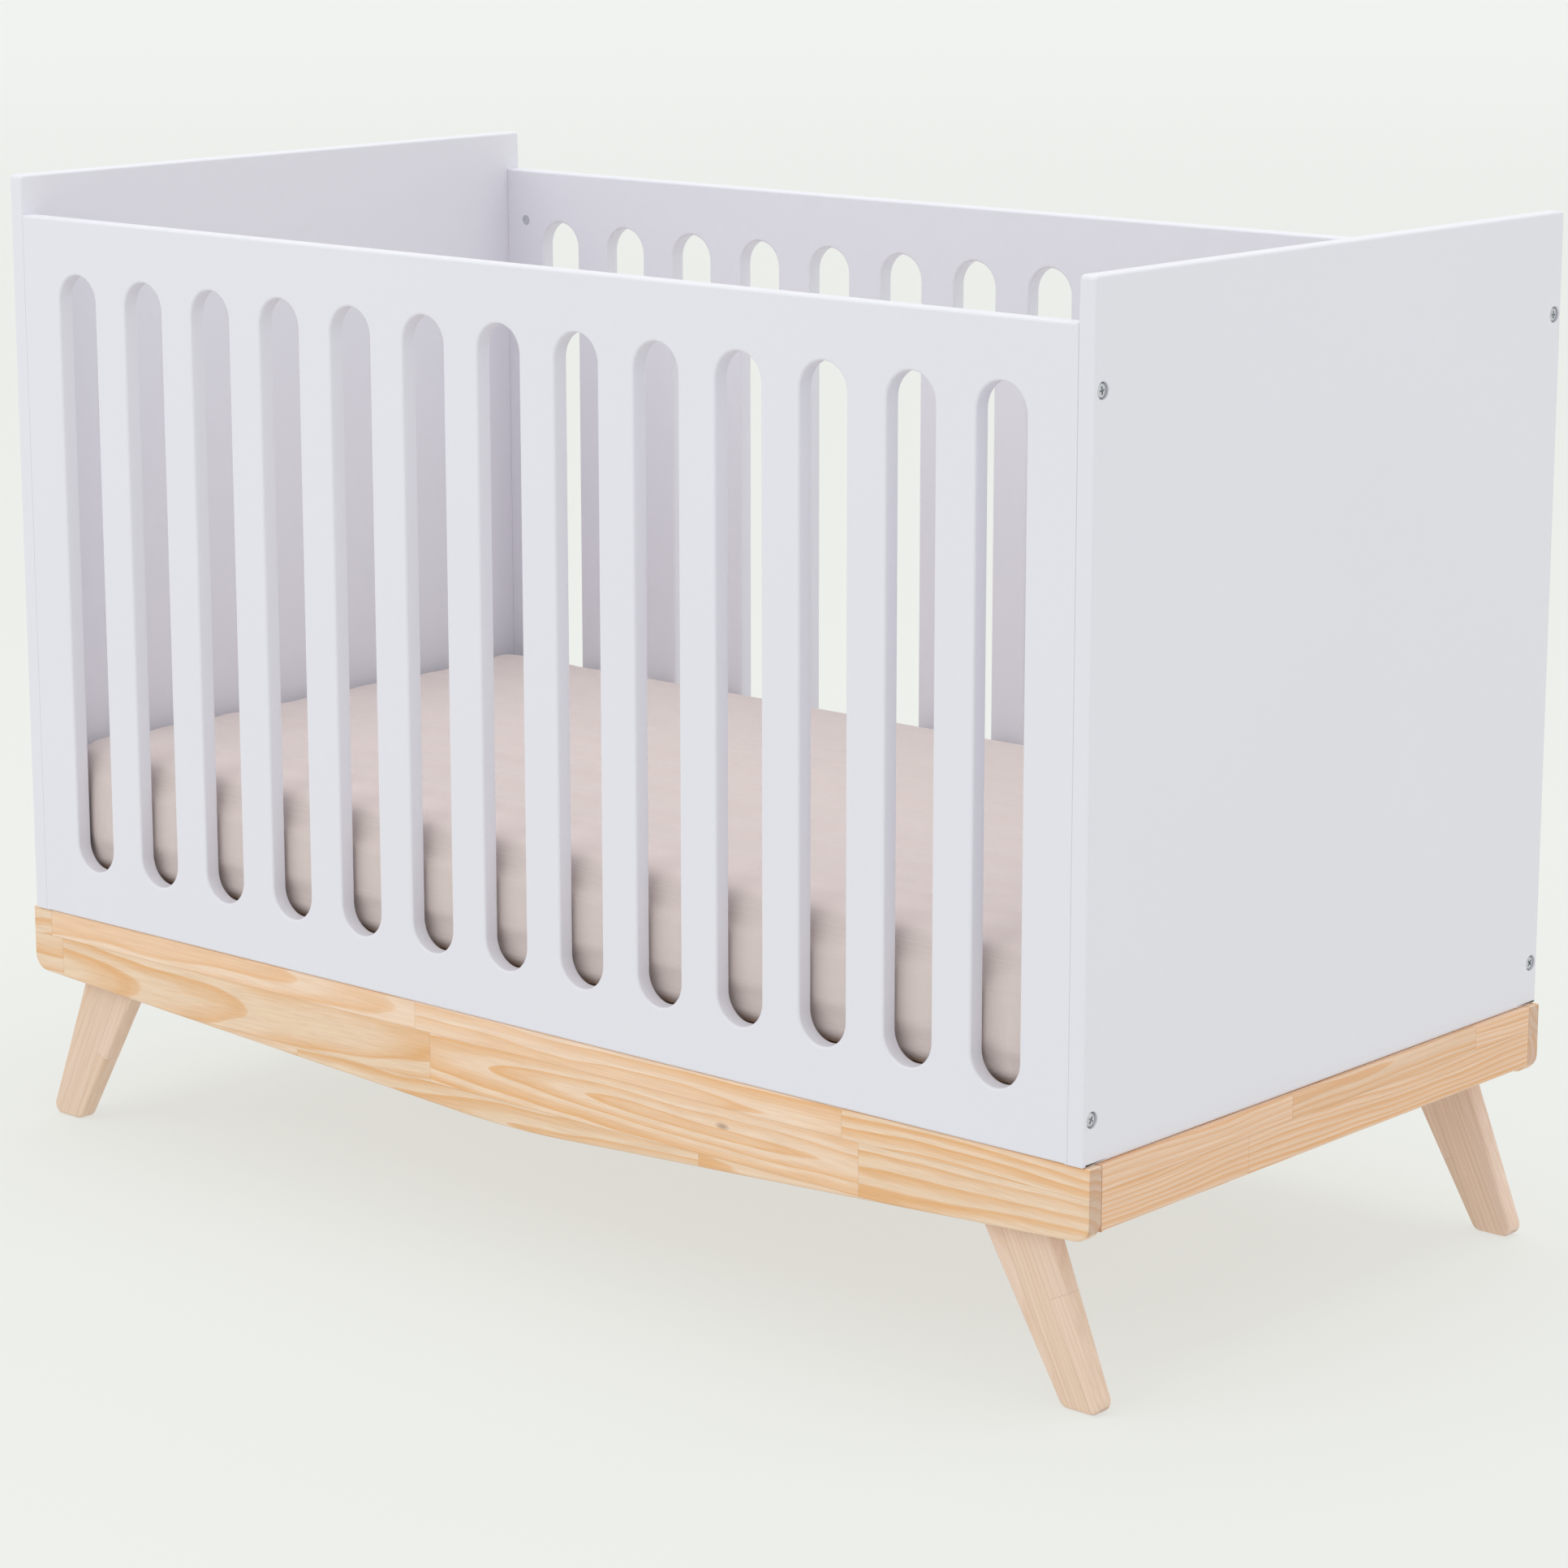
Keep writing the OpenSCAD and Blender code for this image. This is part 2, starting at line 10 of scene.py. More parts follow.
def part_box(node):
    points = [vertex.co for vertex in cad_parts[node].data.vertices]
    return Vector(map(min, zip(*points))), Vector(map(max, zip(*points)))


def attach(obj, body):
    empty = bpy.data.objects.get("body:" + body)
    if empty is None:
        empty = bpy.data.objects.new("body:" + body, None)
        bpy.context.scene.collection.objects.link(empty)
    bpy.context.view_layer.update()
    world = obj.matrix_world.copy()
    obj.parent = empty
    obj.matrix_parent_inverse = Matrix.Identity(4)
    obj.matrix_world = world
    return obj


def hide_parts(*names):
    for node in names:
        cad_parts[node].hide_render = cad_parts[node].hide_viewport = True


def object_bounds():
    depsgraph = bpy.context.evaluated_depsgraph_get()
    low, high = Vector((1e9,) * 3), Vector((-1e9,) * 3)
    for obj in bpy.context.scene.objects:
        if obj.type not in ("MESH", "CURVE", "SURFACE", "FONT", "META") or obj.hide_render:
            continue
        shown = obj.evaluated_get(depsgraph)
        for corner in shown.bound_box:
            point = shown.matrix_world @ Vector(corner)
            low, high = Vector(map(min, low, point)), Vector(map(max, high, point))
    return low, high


bl_info = {
    "name": "Slotted Baby Crib",
    "version": (1, 0, 0),
    "blender": (4, 5, 0),
    "location": "3D View > Sidebar > Crib",
    "description": "Builds a slotted baby crib with pine aprons and splayed legs",
    "category": "Object",
}

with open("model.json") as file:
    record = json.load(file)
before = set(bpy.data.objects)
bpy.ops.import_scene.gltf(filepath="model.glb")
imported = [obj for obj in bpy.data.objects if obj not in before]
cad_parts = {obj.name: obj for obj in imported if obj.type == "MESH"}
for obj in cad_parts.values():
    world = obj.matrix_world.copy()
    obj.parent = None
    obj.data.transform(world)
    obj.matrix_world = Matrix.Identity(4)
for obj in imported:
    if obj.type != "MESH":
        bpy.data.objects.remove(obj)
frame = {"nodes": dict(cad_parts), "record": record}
CAD_LOW, CAD_HIGH = [list(corner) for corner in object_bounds()]

MM = 0.001
SIDES = ("front", "back")
ENDS = ("left", "right")
RECESS_RIM = 0.6 * MM  # rounding where a bolt's recess meets the panel's face
BOLT_TALL = 0.004  # a bolt's head, from its seat to the middle of its dome
INSERT_DEEP = 0.011  # the holes that the threaded inserts lie in
FOOT_REACH = 0.0038  # how far a foot reaches beyond the apron's end
MATTRESS_CORNER = 0.03  # radius of the mattress's upright corners
MATTRESS_LOWER_EDGE = 0.004  # rounding of the mattress's lower edge
SWELL_ROOM = 0.0025  # how far the mattress may swell on every side
CLOTH_SQUARE = 0.0065  # width of the squares the soft pieces are made of
SHEET_HEM = 0.06  # width of the sheet that lies under the mattress
SHEET_SKIN = 0.0013  # from the mattress's face to the cloth's middle


# ---------------------------------------------------------------- sizes and colours


def length(name, text, default):
    return bpy.props.FloatProperty(
        name=name, description=text, default=default, min=0.0, unit="LENGTH", precision=5
    )


def colour(name, text, default):
    return bpy.props.FloatVectorProperty(
        name=name, description=text, default=default, subtype="COLOR", size=3, min=0.0, max=1.0
    )


class CribSizes(bpy.types.PropertyGroup):
    panel_edge: length("Panel edge", "Rounding of the painted panels' edges", 0.0024)
    slot_edge: length("Slot edge", "Rounding of the slots' edges", 0.0024)
    joint_edge: length("Joint edge", "Rounding where two painted panels meet", 0.0007)
    panel_corner: length("Panel corner", "Corner radius of an end panel seen from outside", 0.004)
    apron_end: length("Apron end", "Height of a long apron at its ends", 0.0605)
    apron_mid: length("Apron middle", "Height where its two lower edges would meet", 0.094)
    apron_tip: length("Apron tip", "Radius of the long apron's lowest point", 1.07)
    apron_corner: length("Apron corner", "Radius of the long apron's lower corners", 0.016)
    apron_edge: length("Apron edge", "Rounding of the aprons' long edges", 0.003)
    end_grain_edge: length("End grain edge", "Rounding of sawn ends", 0.0012)
    leg_top: length("Leg top", "Width of a leg along its top", 0.083)
    leg_foot: length("Leg foot", "Width of a leg along the floor", 0.041)
    leg_foot_corner: length("Foot corner", "Radius of a foot's corners", 0.009)
    leg_edge: length("Leg edge", "Rounding of the legs' long edges", 0.003)
    block_chamfer: length("Block chamfer", "Cut on the inner edge of a corner block", 0.012)
    slat_edge: length("Slat edge", "Rounding of the slats' edges", 0.002)
    bolt_head: length("Bolt head", "Diameter of an end bolt's head", 0.012)
    bolt_recess: length("Bolt recess", "Diameter of the recess round a bolt's head", 0.0145)
    recess_depth: length("Recess depth", "Depth of the recess round a bolt's head", 0.005)
    nut_hole: length("Nut hole", "Diameter of the hole a barrel nut lies in", 0.010)
    nut_hole_depth: length("Nut hole depth", "Depth of the hole a barrel nut lies in", 0.013)
    insert_hole: length("Insert hole", "Diameter of the hole a threaded insert lies in", 0.009)
    sheet_edge: length("Sheet edge", "Rounding of the mattress's upper edge under its sheet", 0.009)
    sheet_crown: length("Sheet crown", "Rise of the sheet at the mattress's middle", 0.005)


class CribFinish(bpy.types.PropertyGroup):
    paint: colour("Paint", "Satin paint on the panels", (0.785, 0.78, 0.852))
    pine_early: colour("Pine, pale", "Pale wood between the apron's rings", (0.885, 0.69, 0.53))
    pine_late: colour("Pine, dark", "Dark wood in the apron's rings", (0.80, 0.42, 0.165))
    side_early: colour("Side pine, pale", "Pale wood in the side aprons' rings", (0.83, 0.60, 0.44))
    side_late: colour("Side pine, dark", "Dark wood in the side aprons' rings", (0.76, 0.38, 0.145))
    leg_early: colour("Leg, pale", "Pale wood between a leg's rings", (0.84, 0.65, 0.54))
    leg_late: colour("Leg, dark", "Dark wood in a leg's rings", (0.70, 0.45, 0.28))
    base_early: colour("Slat, pale", "Pale wood between a slat's rings", (0.80, 0.60, 0.40))
    base_late: colour("Slat, dark", "Dark wood in a slat's rings", (0.66, 0.38, 0.19))
    sheet: colour("Sheet", "Woven cotton of the fitted sheet", (0.73, 0.63, 0.608))
    cover: colour("Cover", "Quilted cover of the mattress", (0.84, 0.82, 0.78))
    floor: colour("Floor", "Studio floor, lit a little from within", (0.23, 0.235, 0.225))


def sizes():
    return bpy.context.scene.crib_sizes


def finish():
    return bpy.context.scene.crib_finish


# ---------------------------------------------------------------- outlines


def share(value):
    """The value, held between 0 and 1."""
    return min(1.0, max(0.0, value))


def rectangle(u0, v0, u1, v1):
    return [Vector(corner) for corner in ((u0, v0), (u1, v0), (u1, v1), (u0, v1))]


def rounded(corners, steps=8):
    """A closed outline through corners (u, v, radius), each turned on an arc of its radius."""
    line = []
    count = len(corners)
    for i in range(count):
        at = Vector(corners[i][:2])
        before = (Vector(corners[i - 1][:2]) - at).normalized()
        after = (Vector(corners[(i + 1) % count][:2]) - at).normalized()
        radius = corners[i][2]
        half = before.angle(after) / 2
        reach = radius / math.tan(half)
        centre = at + (before + after).normalized() * radius / math.sin(half)
        start = at + before * reach - centre
        end = at + after * reach - centre
        turn = start.angle_signed(end)
        if radius < 1e-6:
            line.append(at)
            continue
        for k in range(steps + 1):
            angle = turn * k / steps
            c, s = math.cos(-angle), math.sin(-angle)
            line.append(centre + Vector((c * start.x - s * start.y, s * start.x + c * start.y)))
    return line


def ring_line(u, v, radius, steps=28):
    """A circle, drawn clockwise because it bounds a hole."""
    turn = 2 * math.pi / steps
    return [
        Vector((u + radius * math.cos(-k * turn), v + radius * math.sin(-k * turn)))
        for k in range(steps)
    ]


def slot_line(u, low, high, radius, steps=26):
    """A slot with round ends, clockwise. low and high are the centres of its ends."""
    line = []
    for k in range(steps + 1):
        angle = math.pi - math.pi * k / steps
        line.append(Vector((u + radius * math.cos(angle), high + radius * math.sin(angle))))
    for k in range(steps + 1):
        angle = -math.pi * k / steps
        line.append(Vector((u + radius * math.cos(angle), low + radius * math.sin(angle))))
    return line


def cross_line(arm, half):
    """A cross recess, clockwise. arm is its reach and half half its width."""
    quarter = [(half, half), (half, arm), (-half, arm)]
    line = []
    for turn in range(4):
        for x, y in quarter:
            for _ in range(turn):
                x, y = -y, x
            line.append(Vector((x, y)))
    line.reverse()
    return line


def facing(outward, plane):
    """Matrix from a plate's own (u, v, w) to the crib. Its middle lies at plane along outward."""
    u, v, w = {
        "front": ((1, 0, 0), (0, 0, 1), (0, -1, 0)),
        "back": ((-1, 0, 0), (0, 0, 1), (0, 1, 0)),
        "right": ((0, 1, 0), (0, 0, 1), (1, 0, 0)),
        "left": ((0, -1, 0), (0, 0, 1), (-1, 0, 0)),
        "up": ((1, 0, 0), (0, 1, 0), (0, 0, 1)),
    }[outward]
    turn = Matrix((u, v, w)).transposed().to_4x4()
    return Matrix.Translation(Vector(w) * plane) @ turn


# ---------------------------------------------------------------- plate builder


def inset_directions(line):
    """For each point of a closed line, how it moves when the line is drawn in by one unit."""
    moves = []
    count = len(line)
    for i in range(count):
        a = line[i] - line[i - 1]
        b = line[(i + 1) % count] - line[i]
        a = a if a.length > 1e-9 else b
        b = b if b.length > 1e-9 else a
        na = Vector((-a.y, a.x)).normalized()
        nb = Vector((-b.y, b.x)).normalized()
        mid = (na + nb).normalized()
        moves.append(mid / max(0.3, mid.dot(na)))
    return moves


def tidy_line(line):
    """The same closed line without repeated points."""
    kept = []
    for p in line:
        if not kept or (p - kept[-1]).length > 1e-6:
            kept.append(p)
    if (kept[0] - kept[-1]).length < 1e-6:
        kept.pop()
    return kept


def plate(outline, thick, edge, back_edge=None, holes=(), hole_edge=None, pits=(), steps=4):
    """A bmesh board in (u, v, w), its middle plane at w 0, with rounded edges.
    edge and back_edge give the rounding at (u, v). pits are (line, depth, side, rounding)."""
    bm = bmesh.new()
    back_edge = back_edge or edge
    hole_edge = hole_edge or edge
    rims = {1: [], -1: []}
    half = thick / 2

    def rounding(rule, p):
        return rule(p.x, p.y) if callable(rule) else rule

    def add_ring(line, moves, insets, height):
        return [
            bm.verts.new((p.x + m.x * d, p.y + m.y * d, h))
            for p, m, d, h in zip(line, moves, insets, height)
        ]

    def bridge(a, b):
        for i in range(len(a)):
            j = (i + 1) % len(a)
            bm.faces.new((a[i], a[j], b[j], b[i]))

    def through(line, front_rule, back_rule):
        line = tidy_line(line)
        moves = inset_directions(line)
        front = [rounding(front_rule, p) for p in line]
        back = [rounding(back_rule, p) for p in line]
        rings = []
        for k in range(steps + 1):
            turn = math.pi / 2 * k / steps
            insets = [r * (1 - math.cos(turn)) for r in back]
            height = [-half + r * (1 - math.sin(turn)) for r in back]
            rings.insert(0, add_ring(line, moves, insets, height))
        for k in range(steps + 1):
            turn = math.pi / 2 * k / steps
            insets = [r * (1 - math.cos(turn)) for r in front]
            height = [half - r * (1 - math.sin(turn)) for r in front]
            rings.append(add_ring(line, moves, insets, height))
        for a, b in zip(rings, rings[1:]):
            bridge(a, b)
        rims[1].append(rings[-1])
        rims[-1].append(rings[0])

    through(outline, edge, back_edge)
    for line in holes:
        through(line, hole_edge, hole_edge)
    for line, depth, side, soft in pits:
        line = tidy_line(line)
        moves = inset_directions(line)
        rings = []
        for k in range(steps, -1, -1):
            turn = math.pi / 2 * k / steps
            inset = [soft * (1 - math.cos(turn))] * len(line)  # a hole's rim widens outwards
            height = [side * (half - soft * (1 - math.sin(turn)))] * len(line)
            rings.append(add_ring(line, moves, inset, height))
        rings.append(add_ring(line, moves, [0.0] * len(line), [side * (half - depth)] * len(line)))
        for a, b in zip(rings, rings[1:]):
            bridge(a, b) if side < 0 else bridge(b, a)
        bm.faces.new(rings[-1])
        rims[side].append(rings[0])

    for side in (1, -1):
        edges = []
        for ring in rims[side]:
            for i in range(len(ring)):
                edges.append(bm.edges.get((ring[i], ring[(i + 1) % len(ring)])))
        bmesh.ops.triangle_fill(
            bm, use_beauty=True, use_dissolve=False, edges=edges, normal=(0, 0, side)
        )
    bmesh.ops.remove_doubles(bm, verts=bm.verts, dist=1e-7)
    bmesh.ops.recalc_face_normals(bm, faces=bm.faces)
    return bm


def settle(name, bm, place, material, body, nodes, angle=40.0):
    """Turns a bmesh into a piece, in place, that stands for its CAD nodes."""
    mesh = bpy.data.meshes.new(name)
    bm.to_mesh(mesh)
    bm.free()
    mesh.transform(place)
    obj = bpy.data.objects.new(name, mesh)
    bpy.context.scene.collection.objects.link(obj)
    mesh.materials.append(material)
    mesh.shade_smooth()
    mesh.set_sharp_from_angle(angle=math.radians(angle))
    weighted = obj.modifiers.new("face weighted normals", "WEIGHTED_NORMAL")
    weighted.keep_sharp = True
    weighted.weight = 80
    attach(obj, body)
    if nodes:
        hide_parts(*nodes)
    return obj


# ---------------------------------------------------------------- glued-up boards

GLUE = 0.0003


def seams_of(staves):
    """Places of the glue lines along and across the grain."""
    cuts = sorted({edge for low, high, _ in staves for edge in (low, high)})[1:-1]
    joints = sorted({joint for _, _, marks in staves for joint in marks})
    return cuts, joints


def saw_seams(bm, staves, along):
    """Cuts a thin strip into the board's faces along every glue line."""
    cuts, joints = seams_of(staves)
    across = Vector((-along.y, along.x))
    for way, places in ((across, cuts), (along, joints)):
        for place in places:
            for shift in (-GLUE, GLUE):
                point = way * (place + shift)
                bmesh.ops.bisect_plane(
                    bm,
                    geom=list(bm.verts) + list(bm.edges) + list(bm.faces),
                    plane_co=(point.x, point.y, 0),
                    plane_no=(way.x, way.y, 0),
                    dist=1e-7,
                )


def log_blocks(chance, staves, lean, depth, centre):
    """For each glued block, where it was sawn from its log."""
    blocks = {}
    for stave in range(len(staves)):
        for run in range(len(staves[stave][2]) + 1):
            blocks[stave, run] = {
                "start": chance.uniform(0, 40),
                "deep": chance.choice((-1, 1)) * chance.uniform(*depth),
                "side": chance.uniform(-centre, centre),
                "lean": chance.choice((-1, 1)) * chance.uniform(0.35, 1) * lean,
                "drift": chance.uniform(-lean, lean) * 0.6,
                "turn": chance.choice((-1, 1)),
                "tone": chance.uniform(-1, 1),
            }
    return blocks


def mark_grain(mesh, seed, staves, along, lean, depth, centre):
    """Stores each corner's point in the log, and the block's tone, glue lines and sawn ends."""
    blocks = log_blocks(random.Random(seed), staves, lean, depth, centre)
    cuts, _ = seams_of(staves)
    along = Vector((along.x, along.y, 0))
    across = Vector((-along.y, along.x, 0))
    across_at = [v.co.dot(across) for v in mesh.vertices]
    along_at = [v.co.dot(along) for v in mesh.vertices]
    least, most = min(across_at), max(across_at)
    middles = [(max(least, low) + min(most, high)) / 2 for low, high, _ in staves]
    centres = []
    for _, _, marks in staves:
        edges = [min(along_at), *marks, max(along_at)]
        centres.append([(a + b) / 2 for a, b in zip(edges, edges[1:])])
    grain = [0.0] * (len(mesh.loops) * 3)
    look = [0.0] * (len(mesh.loops) * 3)
    for face in mesh.polygons:
        a, b = face.center.dot(along), face.center.dot(across)
        stave = min(
            range(len(staves)), key=lambda i: max(staves[i][0] - b, b - staves[i][1])
        )
        marks = staves[stave][2]
        run = sum(1 for mark in marks if a > mark)
        seam = any(abs(b - cut) < GLUE for cut in cuts) or any(abs(a - m) < GLUE for m in marks)
        log = blocks[stave, run]
        for loop in face.loop_indices:
            p = mesh.vertices[mesh.loops[loop].vertex_index].co
            s, t, w = p.dot(along), p.dot(across), p.z
            grain[loop * 3] = s * log["turn"] + log["start"]
            grain[loop * 3 + 1] = t - middles[stave] + log["side"] + s * log["drift"]
            grain[loop * 3 + 2] = w + log["deep"] + (s - centres[stave][run]) * log["lean"]
            look[loop * 3] = log["tone"]
            look[loop * 3 + 1] = 1.0 if seam else 0.0
            look[loop * 3 + 2] = 1.0 if abs(face.normal.dot(along)) > 0.8 else 0.0
    mesh.attributes.new("grain_at", "FLOAT_VECTOR", "CORNER").data.foreach_set("vector", grain)
    mesh.attributes.new("block_look", "FLOAT_VECTOR", "CORNER").data.foreach_set("vector", look)


def wooden(name, bm, place, finish_name, body, nodes, staves, log, along=(1.0, 0.0)):
    """A plate marked as glued blocks of wood, then settled as a piece.
    log is (lean, depth, centre), which say where in the log its blocks were sawn."""
    along = Vector(along).normalized()
    saw_seams(bm, staves, along)
    sawn = bpy.data.meshes.new(name)
    bm.to_mesh(sawn)
    mark_grain(sawn, name, staves, along, *log)
    bm.clear()
    bm.from_mesh(sawn)
    bpy.data.meshes.remove(sawn)
    return settle(name, bm, place, material(finish_name), body, nodes)


# ---------------------------------------------------------------- finishes


class Wiring:
    """Short calls for building one material's nodes."""

    def __init__(self, name):
        self.material = bpy.data.materials.new(name)
        self.material.use_nodes = True
        self.nodes = self.material.node_tree.nodes
        self.links = self.material.node_tree.links
        self.shader = self.nodes["Principled BSDF"]

    def set(self, socket, value):
        if isinstance(value, bpy.types.NodeSocket):
            self.links.new(value, socket)
        elif value is not None:
            socket.default_value = value

    def math(self, operation, a, b=None, c=None, clamp=False):
        node = self.nodes.new("ShaderNodeMath")
        node.operation = operation
        node.use_clamp = clamp
        for socket, value in zip(node.inputs, (a, b, c)):
            self.set(socket, value)
        return node.outputs[0]

    def vector(self, operation, a, b=None):
        node = self.nodes.new("ShaderNodeVectorMath")
        node.operation = operation
        self.set(node.inputs[0], a)
        self.set(node.inputs[1], b)
        return node.outputs["Value" if operation == "LENGTH" else "Vector"]

    def noise(self, at, scale=1.0, detail=2.0, rough=0.5):
        node = self.nodes.new("ShaderNodeTexNoise")
        self.set(node.inputs["Vector"], at)
        node.inputs["Scale"].default_value = scale
        node.inputs["Detail"].default_value = detail
        node.inputs["Roughness"].default_value = rough
        return node

    def span(self, value, low, high, to_low, to_high):
        node = self.nodes.new("ShaderNodeMapRange")
        for socket, number in zip(node.inputs, (value, low, high, to_low, to_high)):
            self.set(socket, number)
        return node.outputs[0]

    def mix(self, amount, a, b, blend="MIX"):
        node = self.nodes.new("ShaderNodeMix")
        node.data_type = "RGBA"
        node.blend_type = blend
        self.set(node.inputs["Factor"], amount)
        self.set(node.inputs["A"], a if isinstance(a, bpy.types.NodeSocket) else (*a, 1.0))
        self.set(node.inputs["B"], b if isinstance(b, bpy.types.NodeSocket) else (*b, 1.0))
        return [s for s in node.outputs if s.type == "RGBA"][0]

    def ramp(self, value, stops):
        node = self.nodes.new("ShaderNodeValToRGB")
        node.color_ramp.interpolation = "EASE"
        elements = node.color_ramp.elements
        while len(elements) < len(stops):
            elements.new(0.5)
        for element, (place, level) in zip(elements, stops):
            element.position = place
            element.color = (level, level, level, 1.0)
        self.set(node.inputs["Fac"], value)
        return node.outputs["Color"]

    def bump(self, height, distance, strength=1.0, under=None):
        node = self.nodes.new("ShaderNodeBump")
        node.inputs["Distance"].default_value = distance
        node.inputs["Strength"].default_value = strength
        self.set(node.inputs["Height"], height)
        if under is not None:
            self.set(node.inputs["Normal"], under)
        return node.outputs["Normal"]

    def here(self):
        return self.nodes.new("ShaderNodeTexCoord").outputs["Object"]

    def stored(self, name):
        node = self.nodes.new("ShaderNodeAttribute")
        node.attribute_name = name
        return node.outputs["Vector"]


def split(wiring, vector):
    node = wiring.nodes.new("ShaderNodeSeparateXYZ")
    wiring.set(node.inputs[0], vector)
    return node.outputs


def join(wiring, x, y, z):
    node = wiring.nodes.new("ShaderNodeCombineXYZ")
    for socket, value in zip(node.inputs, (x, y, z)):
        wiring.set(socket, value)
    return node.outputs[0]


def paint_finish():
    """Satin paint, sprayed: faint orange peel, a breath of tone and uneven gloss."""
    w = Wiring("white_paint")
    here = w.here()
    cloud = w.noise(here, 3.0, 3.0).outputs["Fac"]
    peel = w.noise(here, 420.0, 2.0).outputs["Fac"]
    fine = w.noise(here, 1500.0, 1.0).outputs["Fac"]
    base = Vector(finish().paint)
    tone = w.mix(w.span(cloud, 0.3, 0.7, 0, 1), base * 0.985, base)
    tone = w.mix(w.span(fine, 0.3, 0.7, 0, 0.35), tone, base * 0.965)
    w.set(w.shader.inputs["Base Color"], tone)
    w.set(w.shader.inputs["Roughness"], w.span(peel, 0.25, 0.75, 0.34, 0.46))
    w.set(w.shader.inputs["Normal"], w.bump(peel, 0.00012, 0.5, w.bump(cloud, 0.002, 0.15)))
    return w.material


def wood_finish(name, early, late, spacing, strength, gloss, run=None):
    """Lacquered softwood cut from a log whose rings run round its X axis.
    run is the grain's axis for a piece with no stored grain."""
    w = Wiring(name)
    if run is None:
        at = w.stored("grain_at")
        tone, seam, sawn = split(w, w.stored("block_look"))
    else:
        x, y, z = split(w, w.here())
        x, y = (x, y) if run == "X" else (y, x)
        at = join(w, x, w.math("ADD", y, 0.021), w.math("ADD", z, 0.034))
        tone, seam, sawn = 0.0, 0.0, 0.0
    wander = w.noise(w.vector("MULTIPLY", at, (3.2, 11.0, 11.0)), 1.0, 2.5, 0.45)
    shift = w.vector("SUBTRACT", wander.outputs["Color"], (0.5, 0.5, 0.5))
    warped = w.vector("ADD", at, w.vector("MULTIPLY", shift, (0.0, 0.026, 0.026)))
    ripple = w.noise(w.vector("MULTIPLY", at, (14.0, 90.0, 90.0)), 1.0, 1.0)
    shake = w.vector("SUBTRACT", ripple.outputs["Color"], (0.5, 0.5, 0.5))
    warped = w.vector("ADD", warped, w.vector("MULTIPLY", shake, (0.0, 0.0016, 0.0016)))
    x, y, z = split(w, warped)
    radius = w.vector("LENGTH", join(w, 0.0, y, z))
    rings = w.math("DIVIDE", radius, spacing)
    uneven = w.noise(join(w, rings, 0.0, 0.0), 0.9, 1.0).outputs["Fac"]
    rings = w.math("ADD", rings, w.math("MULTIPLY", uneven, 1.1))
    band = w.math("FRACT", rings)
    one_ring = ((0.0, 0.0), (0.30, 0.06), (0.72, 0.62), (0.88, 1.0), (0.95, 0.8), (1.0, 0.0))
    dark = w.ramp(band, one_ring)
    patch = w.noise(w.vector("MULTIPLY", at, (2.0, 16.0, 16.0)), 1.0, 1.5).outputs["Fac"]
    dark = w.math("MULTIPLY", dark, w.span(patch, 0.3, 0.7, 0.45, 1.15))
    tint = w.mix(w.math("MULTIPLY", dark, strength, clamp=True), early, late)
    warm = [c * k for c, k in zip(early, (0.98, 0.90, 0.77))]
    tint = w.mix(w.span(patch, 0.35, 0.8, 0.0, 0.7), tint, w.mix(0.5, tint, warm))
    fibre = w.noise(w.vector("MULTIPLY", at, (9.0, 620.0, 620.0)), 1.0, 3.0, 0.6).outputs["Fac"]
    tint = w.mix(w.span(fibre, 0.35, 0.62, 0.22, 0.0), tint, [c * 0.72 for c in late])
    flame = w.noise(w.vector("MULTIPLY", at, (3.0, 170.0, 170.0)), 1.0, 2.0).outputs["Fac"]
    tint = w.mix(w.span(flame, 0.52, 0.75, 0.0, 0.24), tint, late)
    cells = w.nodes.new("ShaderNodeTexVoronoi")
    w.set(cells.inputs["Vector"], w.vector("MULTIPLY", at, (5.0, 13.0, 13.0)))
    cells.inputs["Scale"].default_value = 1.0
    rare = w.math("GREATER_THAN", split(w, cells.outputs["Color"])[0], 0.86)
    knot = w.math("MULTIPLY", w.span(cells.outputs["Distance"], 0.015, 0.05, 0.75, 0.0), rare)
    tint = w.mix(knot, tint, (0.20, 0.09, 0.045))
    tint = w.mix(w.math("MULTIPLY", sawn, 0.85), tint, w.mix(0.55, tint, (0.40, 0.24, 0.19)))
    tint = w.mix(w.math("MULTIPLY", seam, 0.30), tint, [c * 0.5 for c in late])
    level = w.math("MULTIPLY_ADD", tone, 0.045, 1.0)
    level_blue = w.math("MULTIPLY_ADD", tone, 0.07, 1.0)
    tint = w.mix(1.0, tint, join(w, level, level, level_blue), "MULTIPLY")
    w.set(w.shader.inputs["Base Color"], tint)
    w.set(w.shader.inputs["Roughness"], w.span(fibre, 0.3, 0.7, gloss + 0.1, gloss))
    grain = w.bump(fibre, 0.0001, 0.35, w.bump(dark, 0.00008, 0.4))
    w.set(w.shader.inputs["Normal"], grain)
    return w.material


def metal_finish(name, tone, rough, grain_scale):
    """Plated or turned metal with fine tool marks and slightly dulled patches."""
    w = Wiring(name)
    here = w.here()
    marks = w.noise(w.vector("MULTIPLY", here, (1.0, 1.0, 6.0)), grain_scale, 2.0).outputs["Fac"]
    patch = w.noise(here, 160.0, 2.0).outputs["Fac"]
    dulled = [c * 0.82 for c in tone]
    w.set(w.shader.inputs["Base Color"], w.mix(w.span(patch, 0.35, 0.7, 0, 1), tone, dulled))
    w.shader.inputs["Metallic"].default_value = 1.0
    w.set(w.shader.inputs["Roughness"], w.span(marks, 0.3, 0.7, rough, rough + 0.14))
    w.set(w.shader.inputs["Normal"], w.bump(marks, 0.00004, 0.5))
    return w.material


